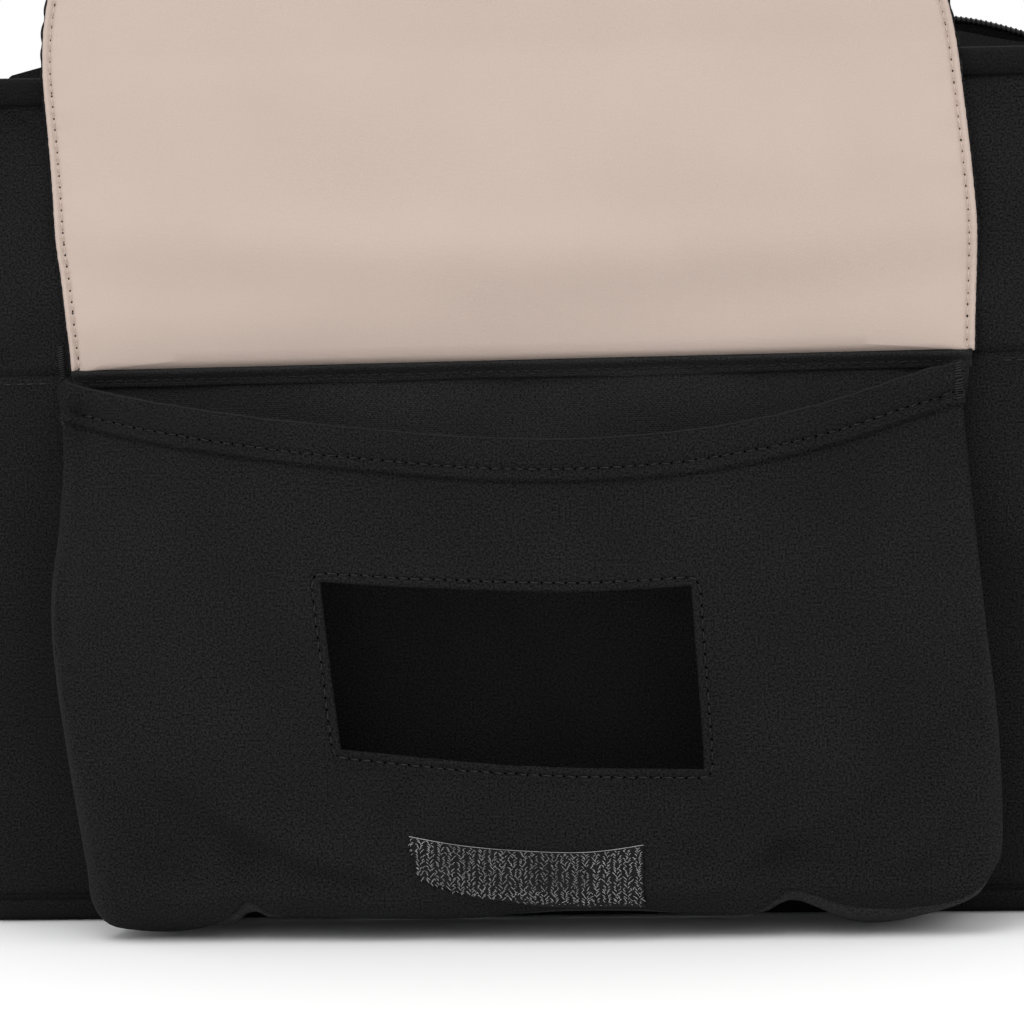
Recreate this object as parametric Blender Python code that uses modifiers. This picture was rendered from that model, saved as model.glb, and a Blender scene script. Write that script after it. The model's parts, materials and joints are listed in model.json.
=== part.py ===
"""A fabric changing bag that stands on its base: a padded rectangular body with a zipped roof, a bellows pocket with a
dispenser window on the front, and a long lined flap that folds down over the pocket onto a strip of hook tape.

Metres, +Z up. The front faces -Y, and the origin is the centre of the base, on the surface that the bag stands on.
Every fabric panel is a thin plate of its own, a small gap away from its neighbours.
"""

import math

import bmesh
import bpy

MM = 0.001
GAP = 0.3 * MM

# Body
HALF_WIDTH = 175 * MM
HALF_DEPTH = 70 * MM
SEAM_Z = 162 * MM  # the cross seam on the front, where the flap is sewn in
RIM_Z = 250 * MM
RIM_HALF_DEPTH = 59.2 * MM  # the walls lean in above the cross seam
SHELL = 1.2 * MM
FOAM = 3.0 * MM
LINING = 0.6 * MM
BOARD = 2.5 * MM
WALL_TOP_Z = 248 * MM
RIM_BAND_HEIGHT = 7.5 * MM
RIM_BAND_THICK = 0.6 * MM
BINDING_LOW_Z = 6 * MM
BINDING_HEIGHT = 3 * MM
BINDING_THICK = 1.0 * MM

# Roof and zip
ROOF_HALF_DEPTH = 58.5 * MM
RIDGE_RISE = 11 * MM
RIDGE_HALF_LENGTH = 122 * MM  # the ridge is level this far each way
ZIP_HALF_LENGTH = 163 * MM  # and comes down to the rim here
LEAF_HALF_LENGTH = 68 * MM
LEAF_LINING_GAP = 2.6 * MM  # the lining stops this far from the fold at the rim
ROOF_END = 173.5 * MM
SLOT_HALF_WIDTH = 8 * MM
TAPE_HALF_WIDTH = 15 * MM
TAPE = 0.6 * MM
COIL_RADIUS = 1.25 * MM
COIL_Y = 1.45 * MM
END_TAB = (8 * MM, 9 * MM, 1.2 * MM)

# Slider and its pull
SLIDER_X = 102 * MM
SLIDER_HALF_LENGTH = 6 * MM
SLIDER_HALF_WIDTH = 4.5 * MM
SLIDER_WALL = 1.2 * MM
SLIDER_HEIGHT = 3 * MM
BAIL_HALF_LENGTH = 4 * MM
BAIL_HALF_WIDTH = 1.2 * MM
BAIL_HEIGHT = 3 * MM
BAIL_HOLE_HALF_LENGTH = 2.8 * MM
BAIL_HOLE_HEIGHT = 2.2 * MM
PULL_THICK = 1.4 * MM
PULL_HALF_WIDTH = 4 * MM
PULL_LENGTH = 24 * MM
PULL_HOLE_HALF_WIDTH = 1.6 * MM
PULL_HOLE_END = 6 * MM
PULL_RISE = 1.1 * MM  # the pull's axis above the slider's top plate

# Front pocket
POCKET_FRONT_Y = -110 * MM
POCKET_BACK_Y = -71.6 * MM
POCKET_LEFT = ((-124, 4), (-131, 42), (-135, 98), (-132, 157))  # its side edges, from the base up, in mm
POCKET_RIGHT = ((125, 4), (135, 28), (131, 90), (127, 159))
MOUTH_SAG = 20 * MM
MOUTH_POINTS = 13
HEM_HEIGHT = 13 * MM
FACING = 0.8 * MM
WINDOW = ((-55, 102), (49, 99), (52, 48), (-50, 55))  # its corners, in mm
WINDOW_FACING_WIDTH = 10 * MM
FACING_SET_BACK = 1 * MM  # how far a turned edge stays back from the edge of the front
MOUTH_FACING_ENDS = 4 * MM
GUSSET_LIFT = 2 * MM
GUSSET_CORNER_GAP = 4 * MM
GUSSET_TOP_DROP = 5 * MM
HOOK_TAPE = ((-32 * MM, 8 * MM), (34 * MM, 28 * MM))
HOOK_TAPE_THICK = 1.8 * MM

# Flap, in its own frame: x across, z from the seam to the tip, y through it
FLAP_LEAN = math.radians(5)
FLAP_HINGE_Y = -74.5 * MM
FLAP_ROOT_HALF_WIDTH = 130 * MM
FLAP_HALF_WIDTH = 135.5 * MM
FLAP_LENGTH = 198 * MM
FLAP_CORNER = 110 * MM
FLAP_FOLD = 40 * MM
CORNER_POINTS = 12
FLAP_LAYERS = {  # from the lining's face inwards: each layer's low and high side
    "lining": (0.0, 0.8 * MM),
    "wadding": (1.1 * MM, 2.6 * MM),
    "shell": (2.9 * MM, 3.9 * MM),
}
LOOP_TAPE_HALF_WIDTH = 34 * MM
LOOP_TAPE_FROM_TIP = (6 * MM, 26 * MM)
LOOP_TAPE_THICK = 1.7 * MM
SEAM_BAND_HEIGHT = 4.5 * MM

# Side tabs and D-rings
RING_WIRE = 1.75 * MM
RING_HALF_WIDTH = 14.25 * MM
RING_LEG = 6 * MM
RING_AXIS_X = 179.7 * MM
RING_AXIS_Z = 226 * MM
ARC_POINTS = 16
WEBBING = 1.4 * MM
WEBBING_HALF_WIDTH = 11 * MM
TAB_LOW_Z = 190 * MM
TAB_PLY_LOW_Z = 215 * MM
TAB_LOOP_RADIUS = 2.9 * MM

BLACK_FABRIC = ("black_fabric", (0.014, 0.014, 0.015), 0.85, 0.0)
BLACK_TRIM = ("black_trim", (0.012, 0.012, 0.013), 0.7, 0.0)
BLACK_WEBBING = ("black_webbing", (0.013, 0.013, 0.014), 0.75, 0.0)
BEIGE_LINING = ("beige_lining", (0.64, 0.54, 0.47), 0.5, 0.0)
WHITE_FOAM = ("white_foam", (0.80, 0.80, 0.78), 0.95, 0.0)
GREY_BOARD = ("grey_board", (0.30, 0.30, 0.31), 0.6, 0.0)
HOOKS = ("hook_tape_grey", (0.09, 0.09, 0.09), 0.45, 0.0)
LOOPS = ("loop_tape_black", (0.02, 0.02, 0.02), 0.95, 0.0)
ZIP_NYLON = ("zip_nylon", (0.012, 0.012, 0.013), 0.4, 0.0)
DARK_METAL = ("dark_metal", (0.05, 0.05, 0.055), 0.35, 1.0)

ALONG_X = (math.pi / 2, 0, math.pi / 2)  # an outline in Y and Z, extruded along X
ALONG_Y = (math.pi / 2, 0, 0)  # an outline in X and Z, extruded along Y
ALONG_Z = (0, 0, 0)


def clear_scene():
    for obj in list(bpy.data.objects):
        bpy.data.objects.remove(obj, do_unlink=True)


def new_collection(name):
    made = bpy.data.collections.new(name)
    bpy.context.scene.collection.children.link(made)
    return made


def material(name, colour, roughness, metallic):
    made = bpy.data.materials.get(name)
    if made is None:
        made = bpy.data.materials.new(name)
        made.use_nodes = True
        shader = made.node_tree.nodes["Principled BSDF"]
        shader.inputs["Base Color"].default_value = (*colour, 1.0)
        shader.inputs["Roughness"].default_value = roughness
        shader.inputs["Metallic"].default_value = metallic
    return made


def add(name, data, finish=None, parent=None):
    obj = bpy.data.objects.new(name, data)
    parts.objects.link(obj)
    obj.parent = parent
    if finish:
        data.materials.append(material(*finish))
    return obj


def axis_empty(name, place, turn=(0, 0, 0), parent=None):
    empty = add(name, None, parent=parent)
    empty.location = place
    empty.rotation_euler = turn
    return empty


def box(name, low, high, finish, parent=None):
    """A plain box between two corners, in the parent's frame."""
    bm = bmesh.new()
    bmesh.ops.create_cube(bm, size=1)
    bmesh.ops.scale(bm, vec=[h - l for l, h in zip(low, high)], verts=bm.verts)
    mesh = bpy.data.meshes.new(name)
    bm.to_mesh(mesh)
    bm.free()
    obj = add(name, mesh, finish, parent)
    obj.location = [(l + h) / 2 for l, h in zip(low, high)]
    return obj


def plate(name, outlines, low, high, turn, finish, parent=None):
    """A flat plate: the first outline is its edge and any other is a hole. It runs from low to high along the axis."""
    curve = bpy.data.curves.new(name, "CURVE")
    curve.dimensions = "2D"
    curve.fill_mode = "BOTH"
    curve.extrude = (high - low) / 2
    for outline in outlines:
        spline = curve.splines.new("POLY")
        spline.points.add(len(outline) - 1)
        for point, (u, v) in zip(spline.points, outline):
            point.co = (u, v, 0, 1)
        spline.use_cyclic_u = True
    obj = add(name, curve, finish, parent)
    middle = (low + high) / 2
    obj.rotation_euler = turn
    obj.location = {ALONG_X: (middle, 0, 0), ALONG_Y: (0, middle, 0), ALONG_Z: (0, 0, middle)}[turn]
    return obj


def wire(name, points, radius, cyclic, finish, parent=None):
    """A round wire or rod through the points."""
    curve = bpy.data.curves.new(name, "CURVE")
    curve.dimensions = "3D"
    curve.bevel_depth = radius
    curve.bevel_resolution = 2
    curve.use_fill_caps = not cyclic
    spline = curve.splines.new("POLY")
    spline.points.add(len(points) - 1)
    for point, place in zip(spline.points, points):
        point.co = (*place, 1)
    spline.use_cyclic_u = cyclic
    return add(name, curve, finish, parent)


def rectangle(half_u, half_v):
    return [(-half_u, -half_v), (half_u, -half_v), (half_u, half_v), (-half_u, half_v)]


def ribbon(points, thickness):
    """The outline of a strip of that thickness down the middle of which the points run."""
    sides = ([], [])
    for i, (u, v) in enumerate(points):
        before = points[max(i - 1, 0)]
        after = points[min(i + 1, len(points) - 1)]
        run = math.hypot(after[0] - before[0], after[1] - before[1])
        out_u = (after[1] - before[1]) / run * thickness / 2
        out_v = -(after[0] - before[0]) / run * thickness / 2
        sides[0].append((u + out_u, v + out_v))
        sides[1].append((u - out_u, v - out_v))
    return sides[0] + sides[1][::-1]


def in_metres(points):
    return [(u * MM, v * MM) for u, v in points]


def wall_y(z):
    """How far the front and back walls' outer faces are from the middle at that height."""
    lean = max(0.0, z - SEAM_Z) / (RIM_Z - SEAM_Z)
    return HALF_DEPTH + (RIM_HALF_DEPTH - HALF_DEPTH) * lean


def wall_layer(side, outer, inner, low_z, high_z):
    """The Y and Z outline of one layer of the front (side -1) or back (side 1) wall, its depths taken from outside."""
    heights = [low_z] + [z for z in (SEAM_Z,) if low_z < z < high_z] + [high_z]
    outside = [(side * (wall_y(z) - outer), z) for z in heights]
    inside = [(side * (wall_y(z) - inner), z) for z in heights]
    return outside + inside[::-1]


def side_outline(inset, low_z, high_z):
    """The Y and Z outline of a side wall's layer that fits between the front and back walls' layers."""
    heights = [low_z, SEAM_Z, high_z]
    front = [(-(wall_y(z) - inset), z) for z in heights]
    back = [(wall_y(z) - inset, z) for z in heights]
    return front + back[::-1]


def make_walls():
    foam_out = SHELL + GAP
    lining_out = foam_out + FOAM + GAP
    lining_in = lining_out + LINING
    low = SHELL + GAP
    seam = GAP / 2
    plate(
        "front_panel_lower", [wall_layer(-1, 0, SHELL, low, SEAM_Z - seam)],
        -HALF_WIDTH, HALF_WIDTH, ALONG_X, BLACK_FABRIC,
    )
    plate(
        "front_panel_upper", [wall_layer(-1, 0, SHELL, SEAM_Z + seam, RIM_Z)],
        -HALF_WIDTH, HALF_WIDTH, ALONG_X, BLACK_FABRIC,
    )
    plate("back_panel", [wall_layer(1, 0, SHELL, low, RIM_Z)], -HALF_WIDTH, HALF_WIDTH, ALONG_X, BLACK_FABRIC)
    for name, side in (("front", -1), ("back", 1)):
        foam_half = HALF_WIDTH - foam_out - FOAM - GAP
        foam = wall_layer(side, foam_out, foam_out + FOAM, low, WALL_TOP_Z)
        plate(f"foam_{name}", [foam], -foam_half, foam_half, ALONG_X, WHITE_FOAM)
        lining_half = HALF_WIDTH - lining_in - GAP
        lining = wall_layer(side, lining_out, lining_in, low, WALL_TOP_Z)
        plate(f"lining_{name}", [lining], -lining_half, lining_half, ALONG_X, BEIGE_LINING)
    for name, side in (("left", -1), ("right", 1)):
        for what, outer, thick, top, finish in (
            ("side_panel", 0, SHELL, RIM_Z, BLACK_FABRIC),
            ("foam", foam_out, FOAM, WALL_TOP_Z, WHITE_FOAM),
            ("lining", lining_out, LINING, WALL_TOP_Z, BEIGE_LINING),
        ):
            inset = outer + (SHELL + GAP if what == "side_panel" else 0)
            low_x, high_x = sorted((side * (HALF_WIDTH - outer), side * (HALF_WIDTH - outer - thick)))
            plate(f"{what}_{name}", [side_outline(inset, low, top)], low_x, high_x, ALONG_X, finish)
    inner_x = HALF_WIDTH - lining_in - GAP
    inner_y = HALF_DEPTH - lining_in - GAP
    box("base_panel", (-HALF_WIDTH, -HALF_DEPTH, 0), (HALF_WIDTH, HALF_DEPTH, SHELL), BLACK_FABRIC)
    box("base_board", (-inner_x, -inner_y, low), (inner_x, inner_y, low + BOARD), GREY_BOARD)
    floor_z = low + BOARD + GAP
    box("lining_floor", (-inner_x, -inner_y, floor_z), (inner_x, inner_y, floor_z + LINING), BEIGE_LINING)


def make_bands():
    """The band round the rim and the binding round the base, both outside the wall panels."""
    band_y = wall_y(RIM_Z - RIM_BAND_HEIGHT) + GAP
    band_x = HALF_WIDTH + GAP
    outer = rectangle(band_x + RIM_BAND_THICK, band_y + RIM_BAND_THICK)
    plate("rim_band", [outer, rectangle(band_x, band_y)], RIM_Z - RIM_BAND_HEIGHT, RIM_Z, ALONG_Z, BLACK_TRIM)
    low_y = HALF_DEPTH + GAP
    outer = rectangle(band_x + BINDING_THICK, low_y + BINDING_THICK)
    plate(
        "base_binding", [outer, rectangle(band_x, low_y)],
        BINDING_LOW_Z, BINDING_LOW_Z + BINDING_HEIGHT, ALONG_Z, BLACK_TRIM,
    )


def ridge_rise(x):
    past = (abs(x) - RIDGE_HALF_LENGTH) / (ZIP_HALF_LENGTH - RIDGE_HALF_LENGTH)
    return RIDGE_RISE * (1 - min(1.0, max(0.0, past)))


def roof_z(x, y):
    return RIM_Z + ridge_rise(x) * (1 - abs(y) / ROOF_HALF_DEPTH)


def roof_sheet(name, rows, columns, open_slot, low, thickness, finish):
    """A sheet that follows the roof over those rows (x) and columns (y), low above it, open over the zip if asked."""
    bm = bmesh.new()
    grid = [[bm.verts.new((x, y, roof_z(x, y) + low)) for y in columns] for x in rows]
    for i in range(len(rows) - 1):
        for j in range(len(columns) - 1):
            over_zip = abs(columns[j] + columns[j + 1]) / 2 < SLOT_HALF_WIDTH
            beside_tape = abs(rows[i] + rows[i + 1]) / 2 < ZIP_HALF_LENGTH
            if open_slot and over_zip and beside_tape:
                continue
            bm.faces.new((grid[i][j], grid[i + 1][j], grid[i + 1][j + 1], grid[i][j + 1]))
    bmesh.ops.triangulate(bm, faces=bm.faces, quad_method="FIXED")
    mesh = bpy.data.meshes.new(name)
    bm.to_mesh(mesh)
    bm.free()
    obj = add(name, mesh, finish)
    solid = obj.modifiers.new("thickness", "SOLIDIFY")
    solid.thickness = thickness
    solid.offset = 1
    return obj


def make_roof_ends():
    """The ends of the roof on either side of the opening part, with the zip's ends sewn into them."""
    tape_columns = [-TAPE_HALF_WIDTH, -SLOT_HALF_WIDTH, 0, SLOT_HALF_WIDTH, TAPE_HALF_WIDTH]
    columns = [-ROOF_HALF_DEPTH + GAP, *tape_columns, ROOF_HALF_DEPTH - GAP]
    for name, side in (("left", -1), ("right", 1)):
        near = LEAF_HALF_LENGTH + GAP
        reach = sorted(side * x for x in (near, RIDGE_HALF_LENGTH, ZIP_HALF_LENGTH))
        roof_end = sorted([*reach, side * ROOF_END])
        roof_sheet(f"roof_end_{name}", roof_end, columns, True, 0, SHELL, BLACK_FABRIC)
        roof_sheet(f"zip_tape_{name}", reach, tape_columns, False, -2 * GAP - TAPE, TAPE, ZIP_NYLON)
        up = COIL_RADIUS
        route = [(side * x, 0, roof_z(x, 0) + up) for x in (near, RIDGE_HALF_LENGTH, ZIP_HALF_LENGTH - 2 * up)]
        wire(f"zip_coil_{name}", route, COIL_RADIUS, False, ZIP_NYLON)
        low_x, high_x = sorted((side * (ZIP_HALF_LENGTH + GAP), side * (ZIP_HALF_LENGTH + END_TAB[0])))
        low_z = RIM_Z + SHELL + GAP
        box(
            f"zip_end_tab_{name}", (low_x, -END_TAB[1], low_z), (high_x, END_TAB[1], low_z + END_TAB[2]),
            BLACK_WEBBING,
        )


def make_leaf(name, side):
    """One half of the opening roof, turning on the rim, with its half of the zip along its free edge."""
    slope = math.atan2(RIDGE_RISE, ROOF_HALF_DEPTH)
    length = math.hypot(RIDGE_RISE, ROOF_HALF_DEPTH)
    turn = (slope, 0, 0 if side < 0 else math.pi)
    axis = axis_empty(f"top_{name}_axis", (0, side * ROOF_HALF_DEPTH, RIM_Z), turn)
    half, edge = LEAF_HALF_LENGTH, length - SLOT_HALF_WIDTH
    box(f"top_panel_{name}", (-half, GAP, 0), (half, edge, SHELL), BLACK_FABRIC, axis)
    tape_top = -GAP
    low_y, high_y = length - TAPE_HALF_WIDTH, length - GAP
    box(f"zip_tape_{name}", (-half, low_y, tape_top - TAPE), (half, high_y, tape_top), ZIP_NYLON, axis)
    lining_top = tape_top - TAPE - GAP
    low_y, high_y = LEAF_LINING_GAP, edge
    box(f"top_lining_{name}", (-half, low_y, lining_top - LINING), (half, high_y, lining_top), BEIGE_LINING, axis)
    y, z = length - COIL_Y, COIL_RADIUS
    wire(f"zip_coil_{name}", [(-half, y, z), (half, y, z)], COIL_RADIUS, False, ZIP_NYLON, axis)


def make_slider():
    """The slider's top plate with its side flanges and bail, over the closed end of the zip, and the pull on its axis."""
    plate_z = RIM_Z + RIDGE_RISE + 2 * COIL_RADIUS + GAP
    axis = axis_empty("zip_slider_place", (SLIDER_X, 0, plate_z))
    half, inner = SLIDER_HALF_WIDTH, SLIDER_HALF_WIDTH - SLIDER_WALL
    section = [
        (-half, -SLIDER_HEIGHT), (-inner, -SLIDER_HEIGHT), (-inner, 0), (inner, 0), (inner, -SLIDER_HEIGHT),
        (half, -SLIDER_HEIGHT), (half, SLIDER_WALL), (-half, SLIDER_WALL),
    ]
    slider = plate("slider_cover", [section], -SLIDER_HALF_LENGTH, SLIDER_HALF_LENGTH, ALONG_X, DARK_METAL, axis)
    low, hole = SLIDER_WALL / 2, SLIDER_WALL + BAIL_HOLE_HEIGHT
    arch = [
        (-BAIL_HALF_LENGTH, low), (-BAIL_HOLE_HALF_LENGTH, low), (-BAIL_HOLE_HALF_LENGTH, hole),
        (BAIL_HOLE_HALF_LENGTH, hole), (BAIL_HOLE_HALF_LENGTH, low), (BAIL_HALF_LENGTH, low),
        (BAIL_HALF_LENGTH, SLIDER_WALL + BAIL_HEIGHT), (-BAIL_HALF_LENGTH, SLIDER_WALL + BAIL_HEIGHT),
    ]
    bail = plate("slider_bail", [arch], -BAIL_HALF_WIDTH, BAIL_HALF_WIDTH, ALONG_Y, DARK_METAL, axis)
    join_meshes("zip_slider", [slider, bail], DARK_METAL, axis)
    swing = axis_empty("zip_pull_axis", (0, 0, SLIDER_WALL + PULL_RISE), parent=axis)
    start, hole_start = -PULL_THICK / 2, PULL_THICK / 2
    outer = [
        (start, -PULL_HALF_WIDTH), (PULL_LENGTH, -PULL_HALF_WIDTH),
        (PULL_LENGTH, PULL_HALF_WIDTH), (start, PULL_HALF_WIDTH),
    ]
    hole = [
        (hole_start, -PULL_HOLE_HALF_WIDTH), (PULL_HOLE_END, -PULL_HOLE_HALF_WIDTH),
        (PULL_HOLE_END, PULL_HOLE_HALF_WIDTH), (hole_start, PULL_HOLE_HALF_WIDTH),
    ]
    plate("zip_pull", [outer, hole], -PULL_THICK / 2, PULL_THICK / 2, ALONG_Z, DARK_METAL, swing)


def as_cutter(obj):
    """The evaluated plate as a closed mesh object in its parent's frame. A curve takes no Boolean."""
    bpy.context.view_layer.update()
    graph = bpy.context.evaluated_depsgraph_get()
    mesh = bpy.data.meshes.new_from_object(obj.evaluated_get(graph))
    bm = bmesh.new()
    bm.from_mesh(mesh)
    bmesh.ops.remove_doubles(bm, verts=bm.verts, dist=0.00001)
    bmesh.ops.recalc_face_normals(bm, faces=bm.faces)
    bm.to_mesh(mesh)
    bm.free()
    made = bpy.data.objects.new(f"{obj.name}_mesh", mesh)
    cutters.objects.link(made)
    made.parent = obj.parent
    made.location = obj.location
    made.rotation_euler = obj.rotation_euler
    made.hide_render = True
    made.display_type = "WIRE"
    bpy.data.objects.remove(obj, do_unlink=True)
    return made


def join_meshes(name, pieces, finish, parent):
    """One solid from plates that run into each other."""
    solids = [as_cutter(piece) for piece in pieces]
    joined = add(name, solids[0].data.copy(), None, parent)
    joined.data.materials.clear()
    joined.data.materials.append(material(*finish))
    joined.location = solids[0].location
    joined.rotation_euler = solids[0].rotation_euler
    for other in solids[1:]:
        union = joined.modifiers.new("join", "BOOLEAN")
        union.operation = "UNION"
        union.object = other
    return joined


def mouth_line(drop, inset=0.0):
    """The pocket's mouth, which sags between its top corners, moved down by drop and in from both corners by inset."""
    (left, left_z), (right, right_z) = in_metres((POCKET_LEFT[-1], POCKET_RIGHT[-1]))
    points = []
    for i in range(MOUTH_POINTS):
        x = left + inset + (right - left - 2 * inset) * i / (MOUTH_POINTS - 1)
        share = (x - left) / (right - left)
        sag = MOUTH_SAG * (1 - (2 * share - 1) ** 2)
        points.append((x, left_z + (right_z - left_z) * share - sag - drop))
    return points


def make_pocket():
    left, right = in_metres(POCKET_LEFT), in_metres(POCKET_RIGHT)
    window = in_metres(WINDOW)
    front_y, back_y = POCKET_FRONT_Y, POCKET_FRONT_Y + SHELL
    edge = mouth_line(0) + right[::-1][1:] + left[:-1]
    plate("pocket_front", [edge, window], front_y, back_y, ALONG_Y, BLACK_FABRIC)
    behind = back_y + GAP
    hem = mouth_line(FACING_SET_BACK, MOUTH_FACING_ENDS) + mouth_line(HEM_HEIGHT, MOUTH_FACING_ENDS)[::-1]
    plate("pocket_mouth_facing", [hem], behind, behind + FACING, ALONG_Y, BLACK_FABRIC)
    centre_x = sum(u for u, _ in window) / len(window)
    centre_z = sum(v for _, v in window) / len(window)

    def grown(by):
        return [(u + math.copysign(by, u - centre_x), v + math.copysign(by, v - centre_z)) for u, v in window]

    plate("window_facing", [grown(WINDOW_FACING_WIDTH), grown(FACING_SET_BACK)], behind, behind + FACING, ALONG_Y, BLACK_FABRIC)
    inset = SHELL
    strips = {
        "pocket_gusset_left": [(u + inset, v + GUSSET_LIFT) for u, v in left],
        "pocket_gusset_right": [(u - inset, v + GUSSET_LIFT) for u, v in right],
        "pocket_gusset_bottom": [
            (left[0][0] + GUSSET_CORNER_GAP, left[0][1] + GUSSET_LIFT),
            (right[0][0] - GUSSET_CORNER_GAP, right[0][1] + GUSSET_LIFT),
        ],
    }
    for name, route in strips.items():
        route[-1] = (route[-1][0], route[-1][1] - (GUSSET_TOP_DROP if "bottom" not in name else 0))
        plate(name, [ribbon(route, SHELL)], behind, POCKET_BACK_Y, ALONG_Y, BLACK_FABRIC)
    (low_x, low_z), (high_x, high_z) = HOOK_TAPE
    tape_back = front_y - GAP
    box("hook_tape", (low_x, tape_back - HOOK_TAPE_THICK, low_z), (high_x, tape_back, high_z), HOOKS)


def flap_outline(low, high):
    """The flap's outline between two distances from the seam: its sides spread a little, and its tip has round corners."""
    start = FLAP_LENGTH - FLAP_CORNER

    def half_width(s):
        if s <= start:
            return FLAP_ROOT_HALF_WIDTH + (FLAP_HALF_WIDTH - FLAP_ROOT_HALF_WIDTH) * s / start
        return FLAP_HALF_WIDTH - FLAP_CORNER + math.sqrt(max(0.0, FLAP_CORNER**2 - (s - start) ** 2))

    heights = [low, high]
    if high > start:
        arc = [start + FLAP_CORNER * math.sin(math.pi / 2 * i / CORNER_POINTS) for i in range(CORNER_POINTS + 1)]
        heights = [low] + arc
    right = [(half_width(s), s) for s in heights]
    return right + [(-u, s) for u, s in right[::-1]]


def make_flap():
    seam_y = -HALF_DEPTH - GAP
    top = SEAM_Z - GAP
    box(
        "flap_seam_band", (-FLAP_ROOT_HALF_WIDTH, FLAP_HINGE_Y, top - SEAM_BAND_HEIGHT),
        (FLAP_ROOT_HALF_WIDTH, seam_y, top), BLACK_TRIM,
    )
    base_axis = axis_empty("flap_axis", (0, FLAP_HINGE_Y, SEAM_Z), (-FLAP_LEAN, 0, 0))
    tip_axis = axis_empty("flap_tip_axis", (0, 0, FLAP_FOLD), parent=base_axis)
    finishes = {"lining": BEIGE_LINING, "wadding": WHITE_FOAM, "shell": BLACK_FABRIC}
    for layer, (low, high) in FLAP_LAYERS.items():
        base = flap_outline(GAP, FLAP_FOLD - GAP / 2)
        plate(f"flap_{layer}_base", [base], low, high, ALONG_Y, finishes[layer], base_axis)
        main = [(u, v - FLAP_FOLD) for u, v in flap_outline(FLAP_FOLD + GAP / 2, FLAP_LENGTH)]
        plate(f"flap_{layer}_main", [main], low, high, ALONG_Y, finishes[layer], tip_axis)
    low, high = (FLAP_LENGTH - FLAP_FOLD - d for d in LOOP_TAPE_FROM_TIP[::-1])
    half = LOOP_TAPE_HALF_WIDTH
    box("loop_tape", (-half, -GAP - LOOP_TAPE_THICK, low), (half, -GAP, high), LOOPS, tip_axis)


def make_side_rings():
    """A webbing tab on each side, folded round the straight bar of a D-ring that hangs from it."""
    for name, side in (("left", -1), ("right", 1)):
        panel = HALF_WIDTH + GAP
        arc_from, arc_to = math.pi, -math.pi / 2
        loop = []
        for i in range(ARC_POINTS + 1):
            angle = arc_from + (arc_to - arc_from) * i / ARC_POINTS
            loop.append(
                (RING_AXIS_X + TAB_LOOP_RADIUS * math.cos(angle), RING_AXIS_Z + TAB_LOOP_RADIUS * math.sin(angle))
            )
        back_x = panel + WEBBING / 2
        front_x = back_x + WEBBING + GAP
        route = [(back_x, TAB_LOW_Z), (back_x, RING_AXIS_Z - 2 * TAB_LOOP_RADIUS)] + loop
        route += [(front_x, RING_AXIS_Z - 2 * TAB_LOOP_RADIUS), (front_x, TAB_PLY_LOW_Z)]
        outline = [(side * u, v) for u, v in ribbon(route, WEBBING)]
        half = WEBBING_HALF_WIDTH
        plate(f"side_tab_{name}", [outline], -half, half, ALONG_Y, BLACK_WEBBING)
        axis = axis_empty(f"d_ring_{name}_axis", (side * RING_AXIS_X, 0, RING_AXIS_Z))
        ring = [(0, -RING_HALF_WIDTH, 0), (0, RING_HALF_WIDTH, 0)]
        for i in range(ARC_POINTS + 1):
            angle = math.pi * i / ARC_POINTS
            y, z = RING_HALF_WIDTH * math.cos(angle), -RING_LEG - RING_HALF_WIDTH * math.sin(angle)
            ring.append((0, y, z))
        wire(f"d_ring_{name}", ring, RING_WIRE, True, DARK_METAL, axis)


clear_scene()
parts = new_collection("changing_bag")
cutters = new_collection("joining_shapes")
make_walls()
make_bands()
make_roof_ends()
make_leaf("front", -1)
make_leaf("back", 1)
make_slider()
make_pocket()
make_flap()
make_side_rings()
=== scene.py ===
"""The looks of the changing bag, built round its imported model.

A padded fabric body, a bellows pocket with a dispenser window, a lifted flap with a beige lining, a zipped
roof, webbing tabs and D-rings. Metres, +Z up, the front faces -Y.

Every cloth piece is cut flat as a pattern, whose coordinates are its UVs, and then placed by a function that
bends it into shape. Small reliefs, such as stitched channels and puckers, go along the surface's normal.
"""

import json
import math

import bpy
import numpy as np
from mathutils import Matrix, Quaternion, Vector, geometry, kdtree


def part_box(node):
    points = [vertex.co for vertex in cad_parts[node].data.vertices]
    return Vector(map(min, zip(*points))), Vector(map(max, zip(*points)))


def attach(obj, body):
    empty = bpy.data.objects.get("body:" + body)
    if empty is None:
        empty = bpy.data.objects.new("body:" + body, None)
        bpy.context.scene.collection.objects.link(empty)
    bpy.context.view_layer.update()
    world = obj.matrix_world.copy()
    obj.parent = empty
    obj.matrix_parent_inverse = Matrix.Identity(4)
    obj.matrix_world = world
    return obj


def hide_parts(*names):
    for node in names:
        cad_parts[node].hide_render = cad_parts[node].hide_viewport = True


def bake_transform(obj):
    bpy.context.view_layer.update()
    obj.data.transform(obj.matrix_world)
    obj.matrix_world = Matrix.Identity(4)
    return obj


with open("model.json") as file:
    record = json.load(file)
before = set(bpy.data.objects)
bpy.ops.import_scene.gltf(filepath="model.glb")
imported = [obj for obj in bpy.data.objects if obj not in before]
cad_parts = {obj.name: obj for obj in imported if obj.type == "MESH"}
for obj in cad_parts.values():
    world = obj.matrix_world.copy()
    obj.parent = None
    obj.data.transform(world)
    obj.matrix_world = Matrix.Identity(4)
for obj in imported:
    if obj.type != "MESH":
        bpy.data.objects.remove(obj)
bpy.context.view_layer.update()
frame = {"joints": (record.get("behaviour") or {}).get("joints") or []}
MM = 0.001

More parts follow.
